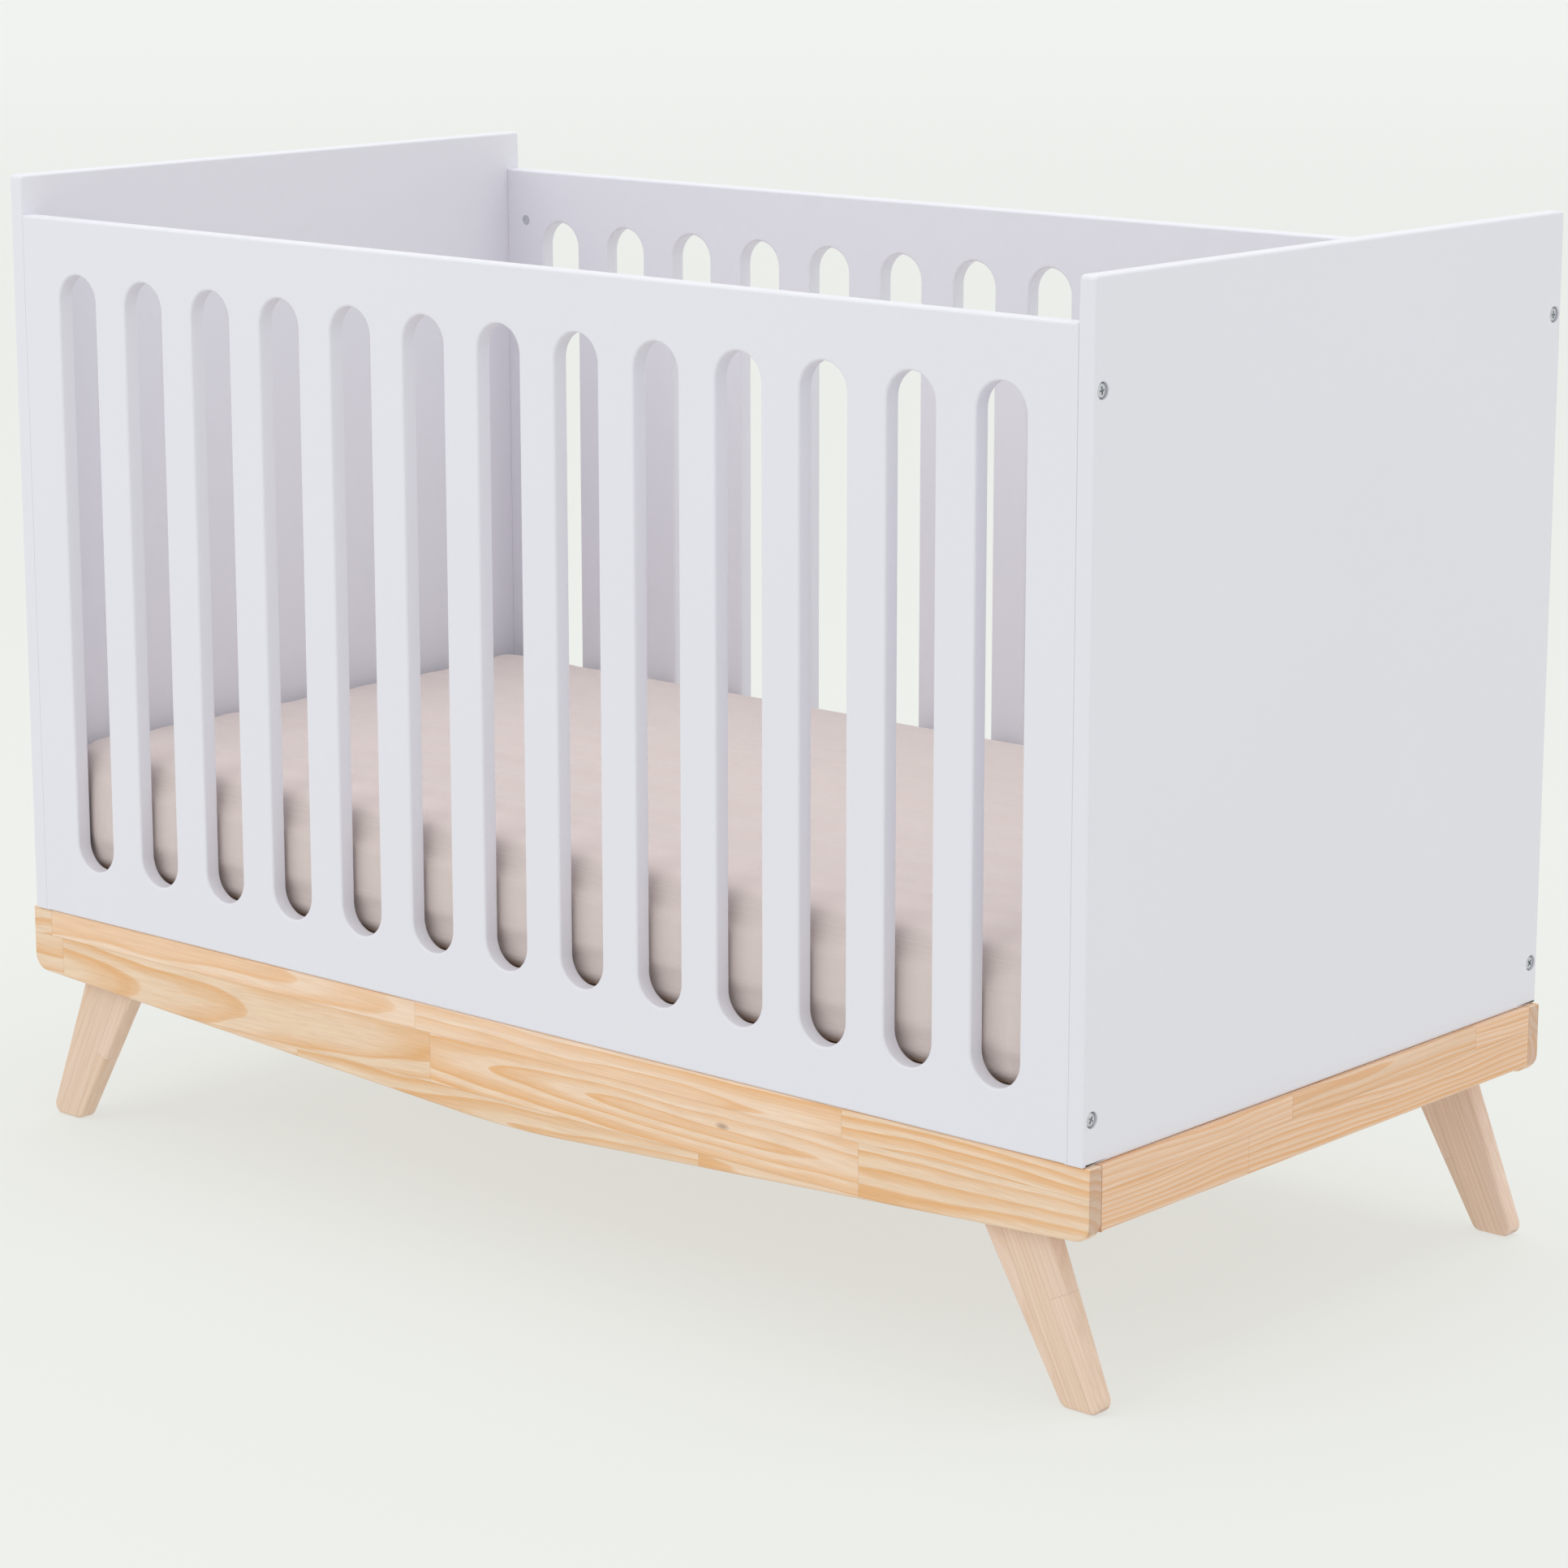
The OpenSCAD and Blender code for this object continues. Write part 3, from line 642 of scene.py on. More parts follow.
def cloth_finish(name, tone, threads, fuzz):
    """Woven cotton: crossing threads, slubs, soft mottling and a nap that catches the light."""
    w = Wiring(name)
    here = w.here()
    heights = []
    for axis in ("X", "Y", "Z"):
        wave = w.nodes.new("ShaderNodeTexWave")
        wave.bands_direction = axis
        wave.inputs["Scale"].default_value = threads
        wave.inputs["Distortion"].default_value = 1.2
        wave.inputs["Detail"].default_value = 1.0
        wave.inputs["Detail Scale"].default_value = 0.3
        w.set(wave.inputs["Vector"], here)
        heights.append(wave.outputs["Fac"])
    weave = w.math("MULTIPLY", w.math("MAXIMUM", heights[0], heights[2]), heights[1])
    slub = w.noise(w.vector("MULTIPLY", here, (40.0, 900.0, 900.0)), 1.0, 2.0).outputs["Fac"]
    mottle = w.noise(here, 26.0, 3.0).outputs["Fac"]
    tint = w.mix(w.span(weave, 0.0, 1.0, 0.14, 0.0), tone, [c * 0.62 for c in tone])
    tint = w.mix(w.span(slub, 0.45, 0.7, 0.0, 0.12), tint, [min(1.0, c * 1.12) for c in tone])
    tint = w.mix(w.span(mottle, 0.3, 0.7, 0.0, 0.16), tint, [c * 0.88 for c in tone])
    w.set(w.shader.inputs["Base Color"], tint)
    w.shader.inputs["Roughness"].default_value = 0.92
    w.shader.inputs["Sheen Weight"].default_value = fuzz
    w.shader.inputs["Sheen Roughness"].default_value = 0.5
    w.shader.inputs["Specular IOR Level"].default_value = 0.25
    w.set(w.shader.inputs["Normal"], w.bump(weave, 0.00022, 0.35, w.bump(mottle, 0.002, 0.12)))
    return w.material


def floor_finish():
    w = Wiring("studio_floor")
    tone = Vector(finish().floor)
    cloud = w.noise(w.here(), 0.7, 2.0).outputs["Fac"]
    w.set(w.shader.inputs["Base Color"], w.mix(cloud, tone, tone * 0.995))
    w.shader.inputs["Roughness"].default_value = 0.95
    w.shader.inputs["Specular IOR Level"].default_value = 0.1
    reach = w.vector("LENGTH", w.here())
    far = w.span(reach, 3.0, 16.0, 0.0, 1.0)
    glow = w.mix(far, (0.90, 0.915, 0.885), (0.894, 0.903, 0.886))
    w.set(w.shader.inputs["Emission Color"], glow)
    w.set(w.shader.inputs["Emission Strength"], w.span(reach, 3.0, 16.0, 0.66, 0.74))
    return w.material


def make_finish(name):
    f = finish()
    base = (f.base_early, f.base_late)
    woods = {
        "pine": (f.pine_early, f.pine_late, 0.0088, 1.0, 0.36),
        "side_pine": (f.side_early, f.side_late, 0.0046, 1.0, 0.36),
        "pale_pine": (f.leg_early, f.leg_late, 0.0042, 0.42, 0.4),
        "base_pine": (*base, 0.0045, 0.7, 0.6),
        "rail_x": (*base, 0.0045, 0.7, 0.6, "X"),
        "rail_y": (*base, 0.0045, 0.7, 0.6, "Y"),
        "dowel_wood": (*base, 0.002, 0.5, 0.6, "X"),
    }
    metals = {
        "zinc_steel": ((0.66, 0.68, 0.71), 0.24, 900.0),
        "brass": ((0.74, 0.56, 0.27), 0.26, 1100.0),
    }
    cloths = {
        "mattress_cover": (list(f.cover), 420.0, 0.15),
        "sheet_cotton": (list(f.sheet), 520.0, 0.2),
    }
    for maker, kinds in ((wood_finish, woods), (metal_finish, metals), (cloth_finish, cloths)):
        if name in kinds:
            return maker(name, *kinds[name])
    return {"white_paint": paint_finish, "studio_floor": floor_finish}[name]()


MADE = {}


def material(name):
    """The named finish, made on first use."""
    if name not in MADE:
        MADE[name] = make_finish(name)
    return MADE[name]


def dress(nodes, finish_name):
    """Gives CAD nodes a finish. Their shape stays as it is."""
    for node in nodes:
        obj = frame["nodes"][node]
        obj.data.materials.clear()
        obj.data.materials.append(material(finish_name))


# ---------------------------------------------------------------- pieces


def shoulders(line, reach):
    """The outline with a point at reach from both ends of every long straight."""
    out = []
    for i in range(len(line)):
        a, b = line[i], line[(i + 1) % len(line)]
        out.append(a)
        run = b - a
        if run.length > 3 * reach:
            out.append(a + run.normalized() * reach)
            out.append(b - run.normalized() * reach)
    return out


def ends_softer(half, plain, sharp, reach):
    """A rounding rule: sharp at the ends u = +-half, growing to plain over reach."""

    def rule(u, v):
        return sharp + (plain - sharp) * share((half - abs(u)) / reach)

    return rule


class CribPiece:
    bl_options = {"REGISTER", "UNDO"}


class CRIB_OT_side_panels(CribPiece, bpy.types.Operator):
    """Slotted long sides, with the blind holes that the barrel nuts lie in"""

    bl_idname = "crib.side_panels"
    bl_label = "Side Panels"

    def execute(self, context):
        s = sizes()
        openings = frame["record"]["physics"]["openings"]
        for side in SIDES:
            node = f"{side}_side_panel"
            low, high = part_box(node)
            mirror = 1 if side == "front" else -1
            outline = shoulders(rectangle(low.x, low.z, high.x, high.z), 0.005)
            slots = []
            for hole in openings:
                if not hole["name"].startswith(f"{side}_slot"):
                    continue
                (x0, _, z0), (x1, _, z1) = hole["box_m"]
                radius = (x1 - x0) / 2 + 0.3 * MM
                slots.append(slot_line(mirror * (x0 + x1) / 2, z0, z1, radius))
            nuts_low, nuts_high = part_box(f"{side}_barrel_nuts")
            r = s.nut_hole / 2
            pits = [
                (ring_line(u, v, r), s.nut_hole_depth, -1, 0.3 * MM)
                for u in (nuts_low.x + r, nuts_high.x - r)
                for v in (nuts_low.z + r, nuts_high.z - r)
            ]
            rule = ends_softer(high.x, s.panel_edge, s.joint_edge, 0.004)
            bm = plate(
                outline, high.y - low.y, rule, holes=slots, hole_edge=s.slot_edge, pits=pits
            )
            place = facing(side, (low.y + high.y) / 2 * (-mirror))
            paint = material("white_paint")
            settle(node + "_board", bm, place, paint, "frame", [node])
        return {"FINISHED"}


class CRIB_OT_end_panels(CribPiece, bpy.types.Operator):
    """Plain ends, with bolt recesses outside and the height inserts' holes inside"""

    bl_idname = "crib.end_panels"
    bl_label = "End Panels"

    def execute(self, context):
        s = sizes()
        for end in ENDS:
            node = f"{end}_end_panel"
            low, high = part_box(node)
            side_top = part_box("front_side_panel")[1].z
            outline = rounded(
                [
                    (low.y, low.z, 0.001),
                    (high.y, low.z, 0.001),
                    (high.y, high.z, s.panel_corner),
                    (low.y, high.z, s.panel_corner),
                ],
                6,
            )
            outline = shoulders(outline, 0.03)

            def inner(u, v):
                above = share((v - side_top) / 0.012)
                return s.joint_edge + (s.panel_edge - s.joint_edge) * above

            bolts_low, bolts_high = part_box(f"{end}_end_bolts")
            head = s.bolt_head / 2
            recesses = [
                (ring_line(u, v, s.bolt_recess / 2 - 0.4 * MM, 40), s.recess_depth, 1, RECESS_RIM)
                for u in (bolts_low.y + head, bolts_high.y - head)
                for v in (bolts_low.z + head, bolts_high.z - head)
            ]
            inserts_low, inserts_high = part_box("base_height_inserts")
            r = s.insert_hole / 2
            first, last = inserts_low.z + r, inserts_high.z - r
            holes = [
                (ring_line(u, v, r), INSERT_DEEP, -1, 0.2 * MM)
                for u in (inserts_low.y + r, inserts_high.y - r)
                for v in (first, (first + last) / 2, last)
            ]
            bm = plate(outline, high.x - low.x, s.panel_edge, inner, pits=recesses + holes)
            place = facing(end, abs(low.x + high.x) / 2)
            paint = material("white_paint")
            settle(node + "_board", bm, place, paint, "frame", [node])
        return {"FINISHED"}


def long_apron_outline():
    s = sizes()
    low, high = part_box("front_apron")
    top = high.z
    return [
        (-high.x, top - s.apron_end, s.apron_corner),
        (0.0, top - s.apron_mid, s.apron_tip),
        (high.x, top - s.apron_end, s.apron_corner),
        (high.x, top, 0.0015),
        (-high.x, top, 0.0015),
    ]


class CRIB_OT_aprons(CribPiece, bpy.types.Operator):
    """Glued pine aprons under the panels: two that deepen to the middle, two straight ones"""

    bl_idname = "crib.aprons"
    bl_label = "Aprons"

    def execute(self, context):
        s = sizes()
        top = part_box("front_apron")[1].z
        upper, lower = top - 0.025, top - 0.070
        for side in SIDES:
            node = f"{side}_apron"
            low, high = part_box(node)
            joints = (
                [[-0.266, 0.220], [-0.586, -0.096, 0.393], [-0.601, -0.114, 0.375]]
                if side == "front"
                else [[-0.31, 0.27], [-0.44, 0.11, 0.55], [-0.52, 0.02, 0.41]]
            )
            staves = [
                (top - 0.2, lower, joints[0]),
                (lower, upper, joints[1]),
                (upper, top + 0.1, joints[2]),
            ]
            outline = shoulders(rounded(long_apron_outline(), 12), 0.012)
            rule = ends_softer(high.x, s.apron_edge, s.end_grain_edge, 0.014)
            bm = plate(outline, high.y - low.y, rule)
            place = facing(side, abs(low.y + high.y) / 2)
            wooden(
                node + "_board", bm, place, "pine", "frame", [node], staves,
                (0.05, (0.010, 0.034), 0.016),
            )
        for end in ENDS:
            node = f"{end}_apron"
            low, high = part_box(node)
            outline = shoulders(rectangle(low.y, low.z, high.y, high.z), 0.004)
            upper = high.z - 0.021
            joints = [[-0.11], [-0.05, 0.22]] if end == "right" else [[0.12], [-0.21, 0.03]]
            staves = [(low.z - 0.1, upper, joints[0]), (upper, high.z + 0.1, joints[1])]
            rule = ends_softer(high.y, s.apron_edge, 0.0006, 0.003)
            bm = plate(outline, high.x - low.x, rule)
            place = facing(end, abs(low.x + high.x) / 2)
            wooden(
                node + "_board", bm, place, "side_pine", "frame", [node], staves,
                (0.012, (0.006, 0.022), 0.045),
            )
        return {"FINISHED"}


class CRIB_OT_legs(CribPiece, bpy.types.Operator):
    """Splayed flat legs, glued up lengthwise with a cross joint in each"""

    bl_idname = "crib.legs"
    bl_label = "Legs"

    def execute(self, context):
        s = sizes()
        for side in SIDES:
            for end in ENDS:
                node = f"leg_{side}_{end}"
                low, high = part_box(node)
                inner, outer = (low.x, high.x) if end == "right" else (-high.x, -low.x)
                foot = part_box("front_apron")[1].x + FOOT_REACH
                top_mid = inner + s.leg_top / 2
                foot_mid = foot - s.leg_foot / 2
                corners = [
                    (foot - s.leg_foot, low.z, s.leg_foot_corner),
                    (foot, low.z, s.leg_foot_corner),
                    (inner + s.leg_top, high.z, 0.001),
                    (inner, high.z, 0.001),
                ]
                flip = 1 if (end == "right") == (side == "front") else -1
                if flip < 0:
                    corners = [(-u, v, r) for u, v, r in reversed(corners)]
                along = Vector((flip * (top_mid - foot_mid), high.z - low.z)).normalized()
                across = Vector((-along.y, along.x))
                outline = shoulders(rounded(corners, 8), 0.006)
                spread = [p.dot(across) for p in outline]
                runs = [p.dot(along) for p in outline]
                width, run = max(spread) - min(spread), max(runs) - min(runs)
                chance = random.Random(node)
                first = min(spread) + width * chance.uniform(0.3, 0.4)
                second = min(spread) + width * chance.uniform(0.62, 0.7)
                joint = min(runs) + run * 0.66
                staves = [
                    (min(spread) - 0.1, first, [min(runs) + run * chance.uniform(0.2, 0.4)]),
                    (first, second, [joint]),
                    (second, max(spread) + 0.1, [joint + 0.006]),
                ]
                bm = plate(outline, high.y - low.y, s.leg_edge)
                place = facing(side, abs(low.y + high.y) / 2)
                wooden(
                    node + "_board", bm, place, "pale_pine", "frame", [node],
                    staves, (0.010, (0.006, 0.024), 0.05), along,
                )
        return {"FINISHED"}


class CRIB_OT_corner_blocks(CribPiece, bpy.types.Operator):
    """Chamfered blocks that tie the aprons together inside the corners"""

    bl_idname = "crib.corner_blocks"
    bl_label = "Corner Blocks"

    def execute(self, context):
        s = sizes()
        for side in SIDES:
            for end in ENDS:
                node = f"block_{side}_{end}"
                low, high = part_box(node)
                sx = 1 if end == "right" else -1
                sy = 1 if side == "back" else -1
                out_x, in_x = (high.x, low.x) if sx > 0 else (-low.x, -high.x)
                out_y, in_y = (high.y, low.y) if sy > 0 else (-low.y, -high.y)
                cut = s.block_chamfer
                corners = [
                    (in_x + cut, in_y),
                    (out_x, in_y),
                    (out_x, out_y),
                    (in_x, out_y),
                    (in_x, in_y + cut),
                ]
                outline = [Vector((sx * u, sy * v)) for u, v in corners]
                if sx * sy < 0:
                    outline.reverse()
                bm = plate(outline, high.z - low.z, 0.0012)
                place = facing("up", (low.z + high.z) / 2)
                wooden(
                    node + "_body", bm, place, "side_pine", "frame", [node],
                    [(-1.0, 1.0, [])], (0.02, (0.01, 0.03), 0.03),
                )
        return {"FINISHED"}


class CRIB_OT_slatted_base(CribPiece, bpy.types.Operator):
    """Loose slats let into the two long rails, and the rails themselves"""

    bl_idname = "crib.slatted_base"
    bl_label = "Slatted Base"

    def execute(self, context):
        s = sizes()
        for node in frame["record"]["behaviour"]["bodies"]["slatted_base"]:
            if not node.startswith("slat_") or node == "slat_screws":
                continue
            low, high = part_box(node)
            outline = shoulders(rectangle(low.x, low.y, high.x, high.y), 0.004)
            bm = plate(outline, high.z - low.z, s.slat_edge, steps=3)
            place = facing("up", (low.z + high.z) / 2)
            mid = (low.x + high.x) / 2
            staves = [(-mid - 0.1, -mid + 0.1, [])]
            wooden(
                node + "_board", bm, place, "base_pine", "slatted_base", [node],
                staves, (0.02, (0.008, 0.03), 0.03), (0.0, 1.0),
            )
        dress(["base_front_rail", "base_back_rail"], "rail_x")
        dress(["base_left_rail", "base_right_rail"], "rail_y")
        return {"FINISHED"}


class CRIB_OT_end_bolts(CribPiece, bpy.types.Operator):
    """Domed bolt heads with a cross recess, set back in the end panels"""

    bl_idname = "crib.end_bolts"
    bl_label = "End Bolts"

    def execute(self, context):
        s = sizes()
        head = s.bolt_head / 2
        for end in ENDS:
            node = f"{end}_end_bolts"
            low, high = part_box(node)
            outer = high.x if end == "right" else -low.x
            together = bmesh.new()
            turn = 0.3
            for u in (low.y + head, high.y - head):
                for v in (low.z + head, high.z - head):
                    turn += 0.7
                    rim = list(reversed(ring_line(0, 0, head, 40)))
                    cross = (cross_line(0.0031, 0.00075), 0.0022, 1, 0.12 * MM)
                    bm = plate(rim, BOLT_TALL, 0.0013, 0.0002, pits=[cross], steps=5)
                    for vert in bm.verts:
                        if vert.co.z > 0:
                            reach = Vector((vert.co.x, vert.co.y)).length / head
                            vert.co.z -= 0.0006 * reach * reach
                    spin = Matrix.Rotation(turn, 4, "Z")
                    bmesh.ops.transform(
                        bm, matrix=Matrix.Translation((u if end == "right" else -u, v, 0)) @ spin,
                        verts=bm.verts,
                    )
                    part = bpy.data.meshes.new("bolt head")
                    bm.to_mesh(part)
                    bm.free()
                    together.from_mesh(part)
                    bpy.data.meshes.remove(part)
            place = facing(end, outer - BOLT_TALL / 2)
            settle(
                node + "_heads", together, place, material("zinc_steel"), "frame",
                [node], 30,
            )
        return {"FINISHED"}


FITTINGS = {
    "zinc_steel": (
        "front_barrel_nuts", "back_barrel_nuts", "leg_bolts", "leg_washers", "block_screws",
        "frame_angles", "frame_angle_screws", "base_brackets", "base_bracket_screws",
        "base_corner_screws", "slat_screws",
    ),
    "brass": ("leg_inserts", "base_height_inserts"),
    "dowel_wood": ("panel_dowels", "apron_dowels"),
}


class CRIB_OT_fittings(CribPiece, bpy.types.Operator):
    """Finishes of the nuts, screws, brackets, inserts and dowels"""

    bl_idname = "crib.fittings"
    bl_label = "Fittings"

    def execute(self, context):
        for slot, nodes in FITTINGS.items():
            dress(nodes, slot)
        return {"FINISHED"}


def mattress_form():
    """The mattress as a closed block of even squares, a little small so that it can swell."""
    low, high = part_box("mattress")
    x0, y0, x1, y1 = (
        low.x + SWELL_ROOM, low.y + SWELL_ROOM, high.x - SWELL_ROOM, high.y - SWELL_ROOM
    )
    outline = rounded([(p.x, p.y, MATTRESS_CORNER) for p in rectangle(x0, y0, x1, y1)])
    tall = high.z - low.z - 2 * SWELL_ROOM
    bm = plate(outline, tall, sizes().sheet_edge, MATTRESS_LOWER_EDGE, steps=5)
    mesh = bpy.data.meshes.new("mattress block")
    bm.to_mesh(mesh)
    bm.free()
    mesh.transform(Matrix.Translation((0, 0, (low.z + high.z) / 2)))
    obj = bpy.data.objects.new("mattress_core", mesh)
    bpy.context.scene.collection.objects.link(obj)
    grid = obj.modifiers.new("even squares", "REMESH")
    grid.mode = "VOXEL"
    grid.voxel_size = CLOTH_SQUARE
    settle_modifiers(obj)
    return obj


def settle_modifiers(obj):
    """Replaces the object's mesh by what its modifiers make of it."""
    bpy.context.view_layer.update()
    evaluated = obj.evaluated_get(bpy.context.evaluated_depsgraph_get())
    made = bpy.data.meshes.new_from_object(evaluated)
    old = obj.data
    obj.modifiers.clear()
    obj.data = made
    bpy.data.meshes.remove(old)


def crisp_hem(p, low, high):
    """Draws the lower edge of a soft block out to a tight seam."""
    up = p.z - low.z
    near = share((0.022 - up) / 0.012)
    if near == 0.0:
        return p
    if up < CLOTH_SQUARE:
        p.z = low.z + max(0.0, up) ** 2 / CLOTH_SQUARE
    for axis, far in ((0, high.x), (1, high.y)):
        gap = far - abs(p[axis])
        if gap < CLOTH_SQUARE:
            tight = max(0.0, gap) ** 2 / CLOTH_SQUARE
            p[axis] = math.copysign(far - (gap + (tight - gap) * near), p[axis])
    return p


def run_cloth(obj, frames):
    """Steps the cloth from frame 1 and returns where its points end up."""
    scene = bpy.context.scene
    scene.frame_start = 1
    scene.frame_end = frames
    cache = obj.modifiers[-1].point_cache
    cache.frame_start = 1
    cache.frame_end = frames
    for step in range(1, frames + 1):
        scene.frame_set(step)
    graph = bpy.context.evaluated_depsgraph_get()
    done = obj.evaluated_get(graph).to_mesh()
    places = [v.co.copy() for v in done.vertices]
    obj.evaluated_get(graph).to_mesh_clear()
    obj.modifiers.remove(obj.modifiers[-1])
    scene.frame_set(1)
    return places


class CRIB_OT_mattress(CribPiece, bpy.types.Operator):
    """Foam mattress, swollen into its cover, with a quilted underside"""

    bl_idname = "crib.mattress"
    bl_label = "Mattress"

    def execute(self, context):
        s = sizes()
        low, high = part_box("mattress")
        obj = mattress_form()
        start = [v.co.copy() for v in obj.data.vertices]
        places = start
        cloth = obj.modifiers.new("swell", "CLOTH")
        cloth.settings.effector_weights.gravity = 0.0
        cloth.settings.use_pressure = True
        cloth.settings.uniform_pressure_force = 4.0
        cloth.settings.quality = 4
        cloth.settings.mass = 0.4
        cloth.settings.tension_stiffness = 12
        cloth.settings.bending_stiffness = 2.0
        cloth.collision_settings.use_collision = False
        places = run_cloth(obj, 16)
        for vert, old, new in zip(obj.data.vertices, start, places):
            move = new - old
            if move.length > SWELL_ROOM:
                move *= SWELL_ROOM / move.length
            p = old + move
            across = (p.x - low.x) / (high.x - low.x) * 2 - 1
            deep = (p.y - low.y) / (high.y - low.y) * 2 - 1
            rise = (1 - abs(across) ** 5) * (1 - abs(deep) ** 4)
            upper = share((p.z - (low.z + high.z) / 2) / 0.05)
            p.z += s.sheet_crown * rise * upper
            if p.z < low.z + 0.012:
                p.z = max(p.z, low.z)
                wave = 2 * math.pi / 0.11
                quilt = math.sin((p.x + p.y) * wave) * math.sin((p.x - p.y) * wave)
                p.z += 0.0028 * (1 - abs(quilt)) ** 3 * max(0.0, rise)
            p = crisp_hem(p, low, high)
            p.x = max(low.x, min(high.x, p.x))
            p.y = max(low.y, min(high.y, p.y))
            vert.co = p
        obj.data.materials.clear()
        obj.data.materials.append(material("mattress_cover"))
        obj.data.shade_smooth()
        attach(obj, "bedding")
        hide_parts("mattress")
        return {"FINISHED"}


def sheet_wrinkle(p):
    """How far the loose cloth stands off the mattress's top in long ripples, from 0 to about 1."""
    height = 0.0
    for pace, deep, seed in ((0.062, 0.6, 3.1), (0.034, 0.4, 6.4)):
        drift = noise.noise(Vector((p.x * 1.6, p.y * 4.5, seed)))
        phase = p.y * 2 * math.pi / pace + 3.6 * drift + 1.2 * math.sin(p.x * 2.9 + seed)
        swell = noise.noise(Vector((p.x * 2.4, p.y * 6.0, seed + 6.6)))
        height += deep * max(0.0, math.sin(phase)) ** 1.5 * share(0.55 + 1.2 * swell)
    return height


def corner_gather(p, high):
    """How far the cloth stands off the mattress's sides in upright gathers near its corners."""
    along = max(high.x - abs(p.x), high.y - abs(p.y))
    near = share((0.19 - along) / 0.09)
    drop = share((high.z - p.z - 0.025) / 0.06)
    if near * drop == 0.0:
        return 0.0
    turn = math.atan2(abs(p.y) - high.y + 0.09, abs(p.x) - high.x + 0.09)
    sway = noise.noise(Vector((p.z * 11, turn * 2, p.x + 2 * p.y)))
    fold = 0.5 + 0.5 * math.sin(turn * 24 + 3.2 * sway)
    return near * drop * fold ** 1.4


class CRIB_OT_fitted_sheet(CribPiece, bpy.types.Operator):
    """Cotton sheet pulled over the mattress: rippled on top, gathered at the corners"""

    bl_idname = "crib.fitted_sheet"
    bl_label = "Fitted Sheet"

    def execute(self, context):
        core = bpy.data.objects["mattress_core"]
        low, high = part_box("fitted_sheet")
        mesh = core.data.copy()
        obj = bpy.data.objects.new("sheet_cloth", mesh)
        bpy.context.scene.collection.objects.link(obj)
        normals = [v.normal.copy() for v in mesh.vertices]
        for vert, way in zip(mesh.vertices, normals):
            vert.co += way * SHEET_SKIN
        bm = bmesh.new()
        bm.from_mesh(mesh)
        gone = [
            v for v in bm.verts
            if v.co.z < low.z + 0.02 and v.normal.z < -0.9
            and low.x + SHEET_HEM < v.co.x < high.x - SHEET_HEM
            and low.y + SHEET_HEM < v.co.y < high.y - SHEET_HEM
        ]
        bmesh.ops.delete(bm, geom=gone, context="VERTS")
        bm.to_mesh(mesh)
        bm.free()
        start = [v.co.copy() for v in mesh.vertices]
        ways = [v.normal.copy() for v in mesh.vertices]
        lift = []
        for p, way in zip(start, ways):
            edge = min(high.x - abs(p.x), high.y - abs(p.y))
            top = max(0.0, way.z) ** 2 * share(edge / 0.05)
            lift.append(sheet_wrinkle(p) * top)
        for vert, p, way, h in zip(mesh.vertices, start, ways, lift):
            vert.co = p + way * 0.005 * h
        obj.shape_key_add(name="worn")
        cut = obj.shape_key_add(name="cut")
        for point in cut.data:
            point.co.y *= 1.018
            point.co.x *= 1.003
        cloth = obj.modifiers.new("ease", "CLOTH")
        cloth.settings.rest_shape_key = cut
        cloth.settings.effector_weights.gravity = 0.0
        cloth.settings.quality = 5
        cloth.settings.mass = 0.15
        cloth.settings.tension_stiffness = 15
        cloth.settings.compression_stiffness = 15
        cloth.settings.shear_stiffness = 5
        cloth.settings.bending_stiffness = 0.6
        cloth.settings.air_damping = 4.0
        cloth.collision_settings.use_collision = False
        held = obj.vertex_groups.new(name="held")
        for vert in mesh.vertices:
            if vert.co.z < low.z + 0.075:
                held.add([vert.index], 1.0, "REPLACE")
        cloth.settings.vertex_group_mass = held.name
        places = run_cloth(obj, 18)
        obj.shape_key_clear()
        for vert, old, new, way, worn in zip(obj.data.vertices, start, places, ways, lift):
            edge = min(high.x - abs(old.x), high.y - abs(old.y))
            room = 0.0002 + 0.0065 * max(0.0, way.z) * share(edge / 0.04)
            out = max(-0.0004, min(room, (new - old).dot(way) + 0.0026 * worn))
            if abs(way.z) < 0.6:
                level = (old.z - low.z) / (high.z - low.z)
                out += 0.0018 * max(0.0, 4 * level * (1 - level))
                out += 0.0018 * corner_gather(old, high)
            vert.co = crisp_hem(old + way * out, low, high)
        soft = obj.modifiers.new("smooth cloth", "SUBSURF")
        soft.levels = soft.render_levels = 1
        thick = obj.modifiers.new("cloth thickness", "SOLIDIFY")
        thick.thickness = 0.0008
        thick.offset = -1.0
        settle_modifiers(obj)
        obj.data.materials.clear()
        obj.data.materials.append(material("sheet_cotton"))
        obj.data.shade_smooth()
        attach(obj, "bedding")
        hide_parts("fitted_sheet")
        return {"FINISHED"}


def area_light(name, place, aim, size, power, tint):
    light = bpy.data.lights.new(name, "AREA")
    light.shape = "RECTANGLE"
    light.size, light.size_y = size
    light.energy = power
    light.color = tint
    obj = bpy.data.objects.new(name, light)
    obj.location = place
    obj.rotation_euler = (Vector(aim) - Vector(place)).to_track_quat("-Z", "Y").to_euler()
    bpy.context.scene.collection.objects.link(obj)


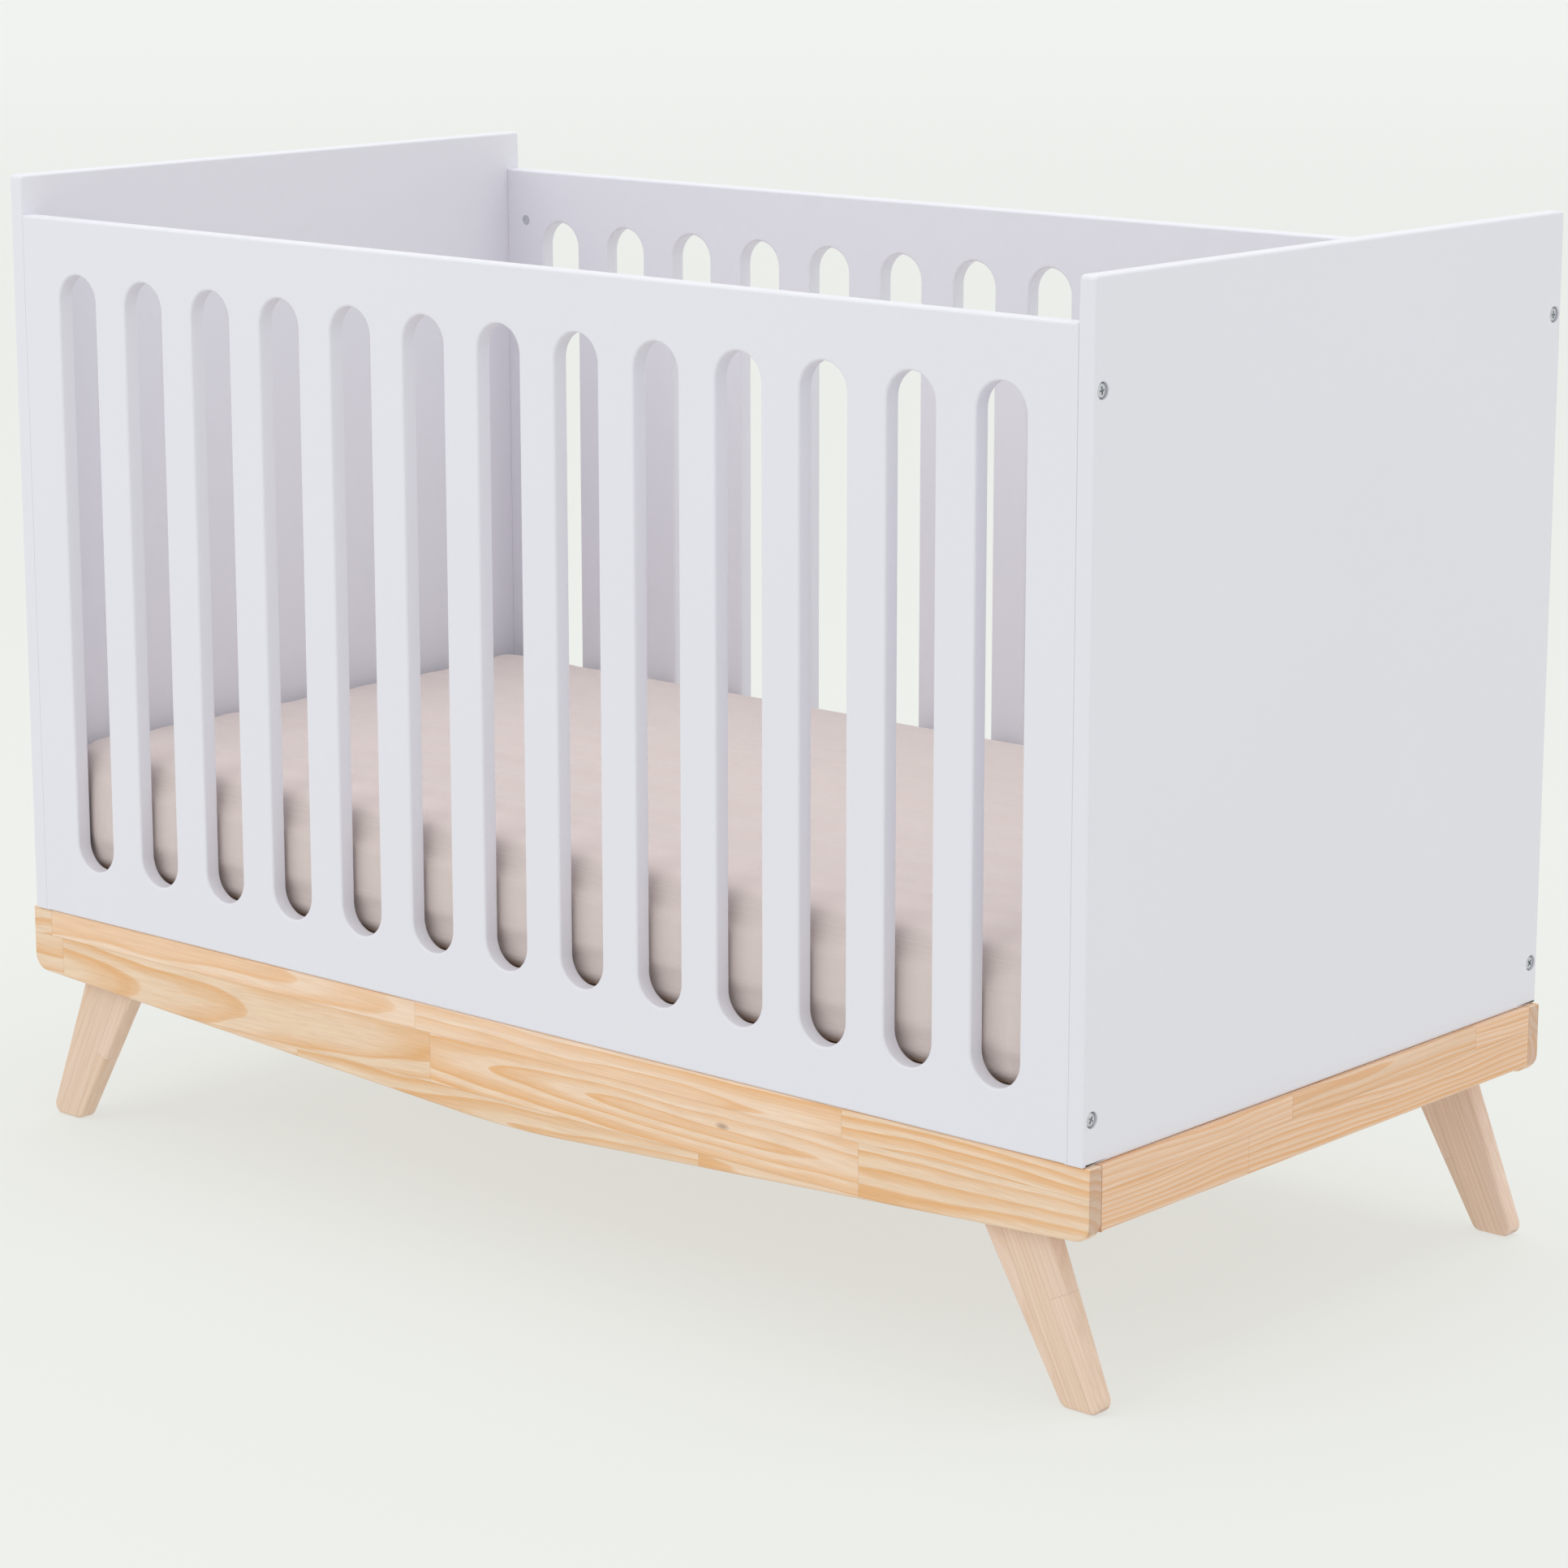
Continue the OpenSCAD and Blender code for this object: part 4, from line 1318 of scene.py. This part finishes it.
class CRIB_OT_studio(CribPiece, bpy.types.Operator):
    """Pale floor, even studio light and the camera"""

    bl_idname = "crib.studio"
    bl_label = "Studio"

    def execute(self, context):
        scene = bpy.context.scene
        scene.view_settings.view_transform = "Standard"
        scene.view_settings.look = "None"
        world = bpy.data.worlds.new("studio")
        world.use_nodes = True
        sky = world.node_tree.nodes["Background"]
        sky.inputs["Color"].default_value = (0.955, 0.97, 0.94, 1.0)
        sky.inputs["Strength"].default_value = 0.90
        scene.world = world
        floor = bpy.data.meshes.new("studio_floor")
        bm = bmesh.new()
        bmesh.ops.create_grid(bm, x_segments=24, y_segments=24, size=45.0)
        bm.to_mesh(floor)
        bm.free()
        floor.materials.append(material("studio_floor"))
        ground = bpy.data.objects.new("studio_floor", floor)
        ground.location.z = CAD_LOW[2] - 0.0004
        scene.collection.objects.link(ground)
        middle = Vector((0.0, 0.0, CAD_HIGH[2] / 2))
        area_light("key", (-2.0, -4.4, 3.6), middle, (4.4, 3.0), 50, (1.0, 0.99, 1.0))
        area_light("fill", (4.8, -1.2, 2.6), middle, (2.6, 2.6), 11, (1.0, 0.97, 0.96))
        area_light("overhead", (0.0, 1.0, 4.6), middle, (4.0, 3.0), 53, (1.0, 1.0, 1.0))
        camera = bpy.data.cameras.new("camera")
        camera.lens = 105.7
        camera.sensor_width = 36.0
        camera.clip_end = 200
        camera.dof.use_dof = False
        view = bpy.data.objects.new("camera", camera)
        scene.collection.objects.link(view)
        turn, tilt = math.radians(41.28), math.radians(-12.72)
        ahead = Vector(
            (-math.sin(turn) * math.cos(tilt), math.cos(turn) * math.cos(tilt), math.sin(tilt))
        )
        view.location = (2.6789, -3.0134, 1.2725)
        view.rotation_euler = ahead.to_track_quat("-Z", "Y").to_euler()
        scene.camera = view
        return {"FINISHED"}


class CRIB_PT_builder(bpy.types.Panel):
    """Lists the crib's sizes, finishes and pieces"""

    bl_idname = "CRIB_PT_builder"
    bl_label = "Baby Crib"
    bl_space_type = "VIEW_3D"
    bl_region_type = "UI"
    bl_category = "Crib"

    def draw(self, context):
        layout = self.layout
        for piece in PIECES:
            layout.operator(piece.bl_idname)
        for title, group in (
            ("Sizes", context.scene.crib_sizes),
            ("Finishes", context.scene.crib_finish),
        ):
            box = layout.box()
            box.label(text=title)
            for name in group.__annotations__:
                box.prop(group, name)


PIECES = (
    CRIB_OT_side_panels,
    CRIB_OT_end_panels,
    CRIB_OT_aprons,
    CRIB_OT_legs,
    CRIB_OT_corner_blocks,
    CRIB_OT_slatted_base,
    CRIB_OT_end_bolts,
    CRIB_OT_fittings,
    CRIB_OT_mattress,
    CRIB_OT_fitted_sheet,
    CRIB_OT_studio,
)


def register():
    for cls in (CribSizes, CribFinish, *PIECES, CRIB_PT_builder):
        bpy.utils.register_class(cls)
    bpy.types.Scene.crib_sizes = bpy.props.PointerProperty(type=CribSizes)
    bpy.types.Scene.crib_finish = bpy.props.PointerProperty(type=CribFinish)


def unregister():
    del bpy.types.Scene.crib_finish
    del bpy.types.Scene.crib_sizes
    for cls in reversed((CribSizes, CribFinish, *PIECES, CRIB_PT_builder)):
        bpy.utils.unregister_class(cls)


def main():
    register()
    for piece in PIECES:
        group, name = piece.bl_idname.split(".")
        getattr(getattr(bpy.ops, group), name)()


if __name__ == "__main__":
    main()
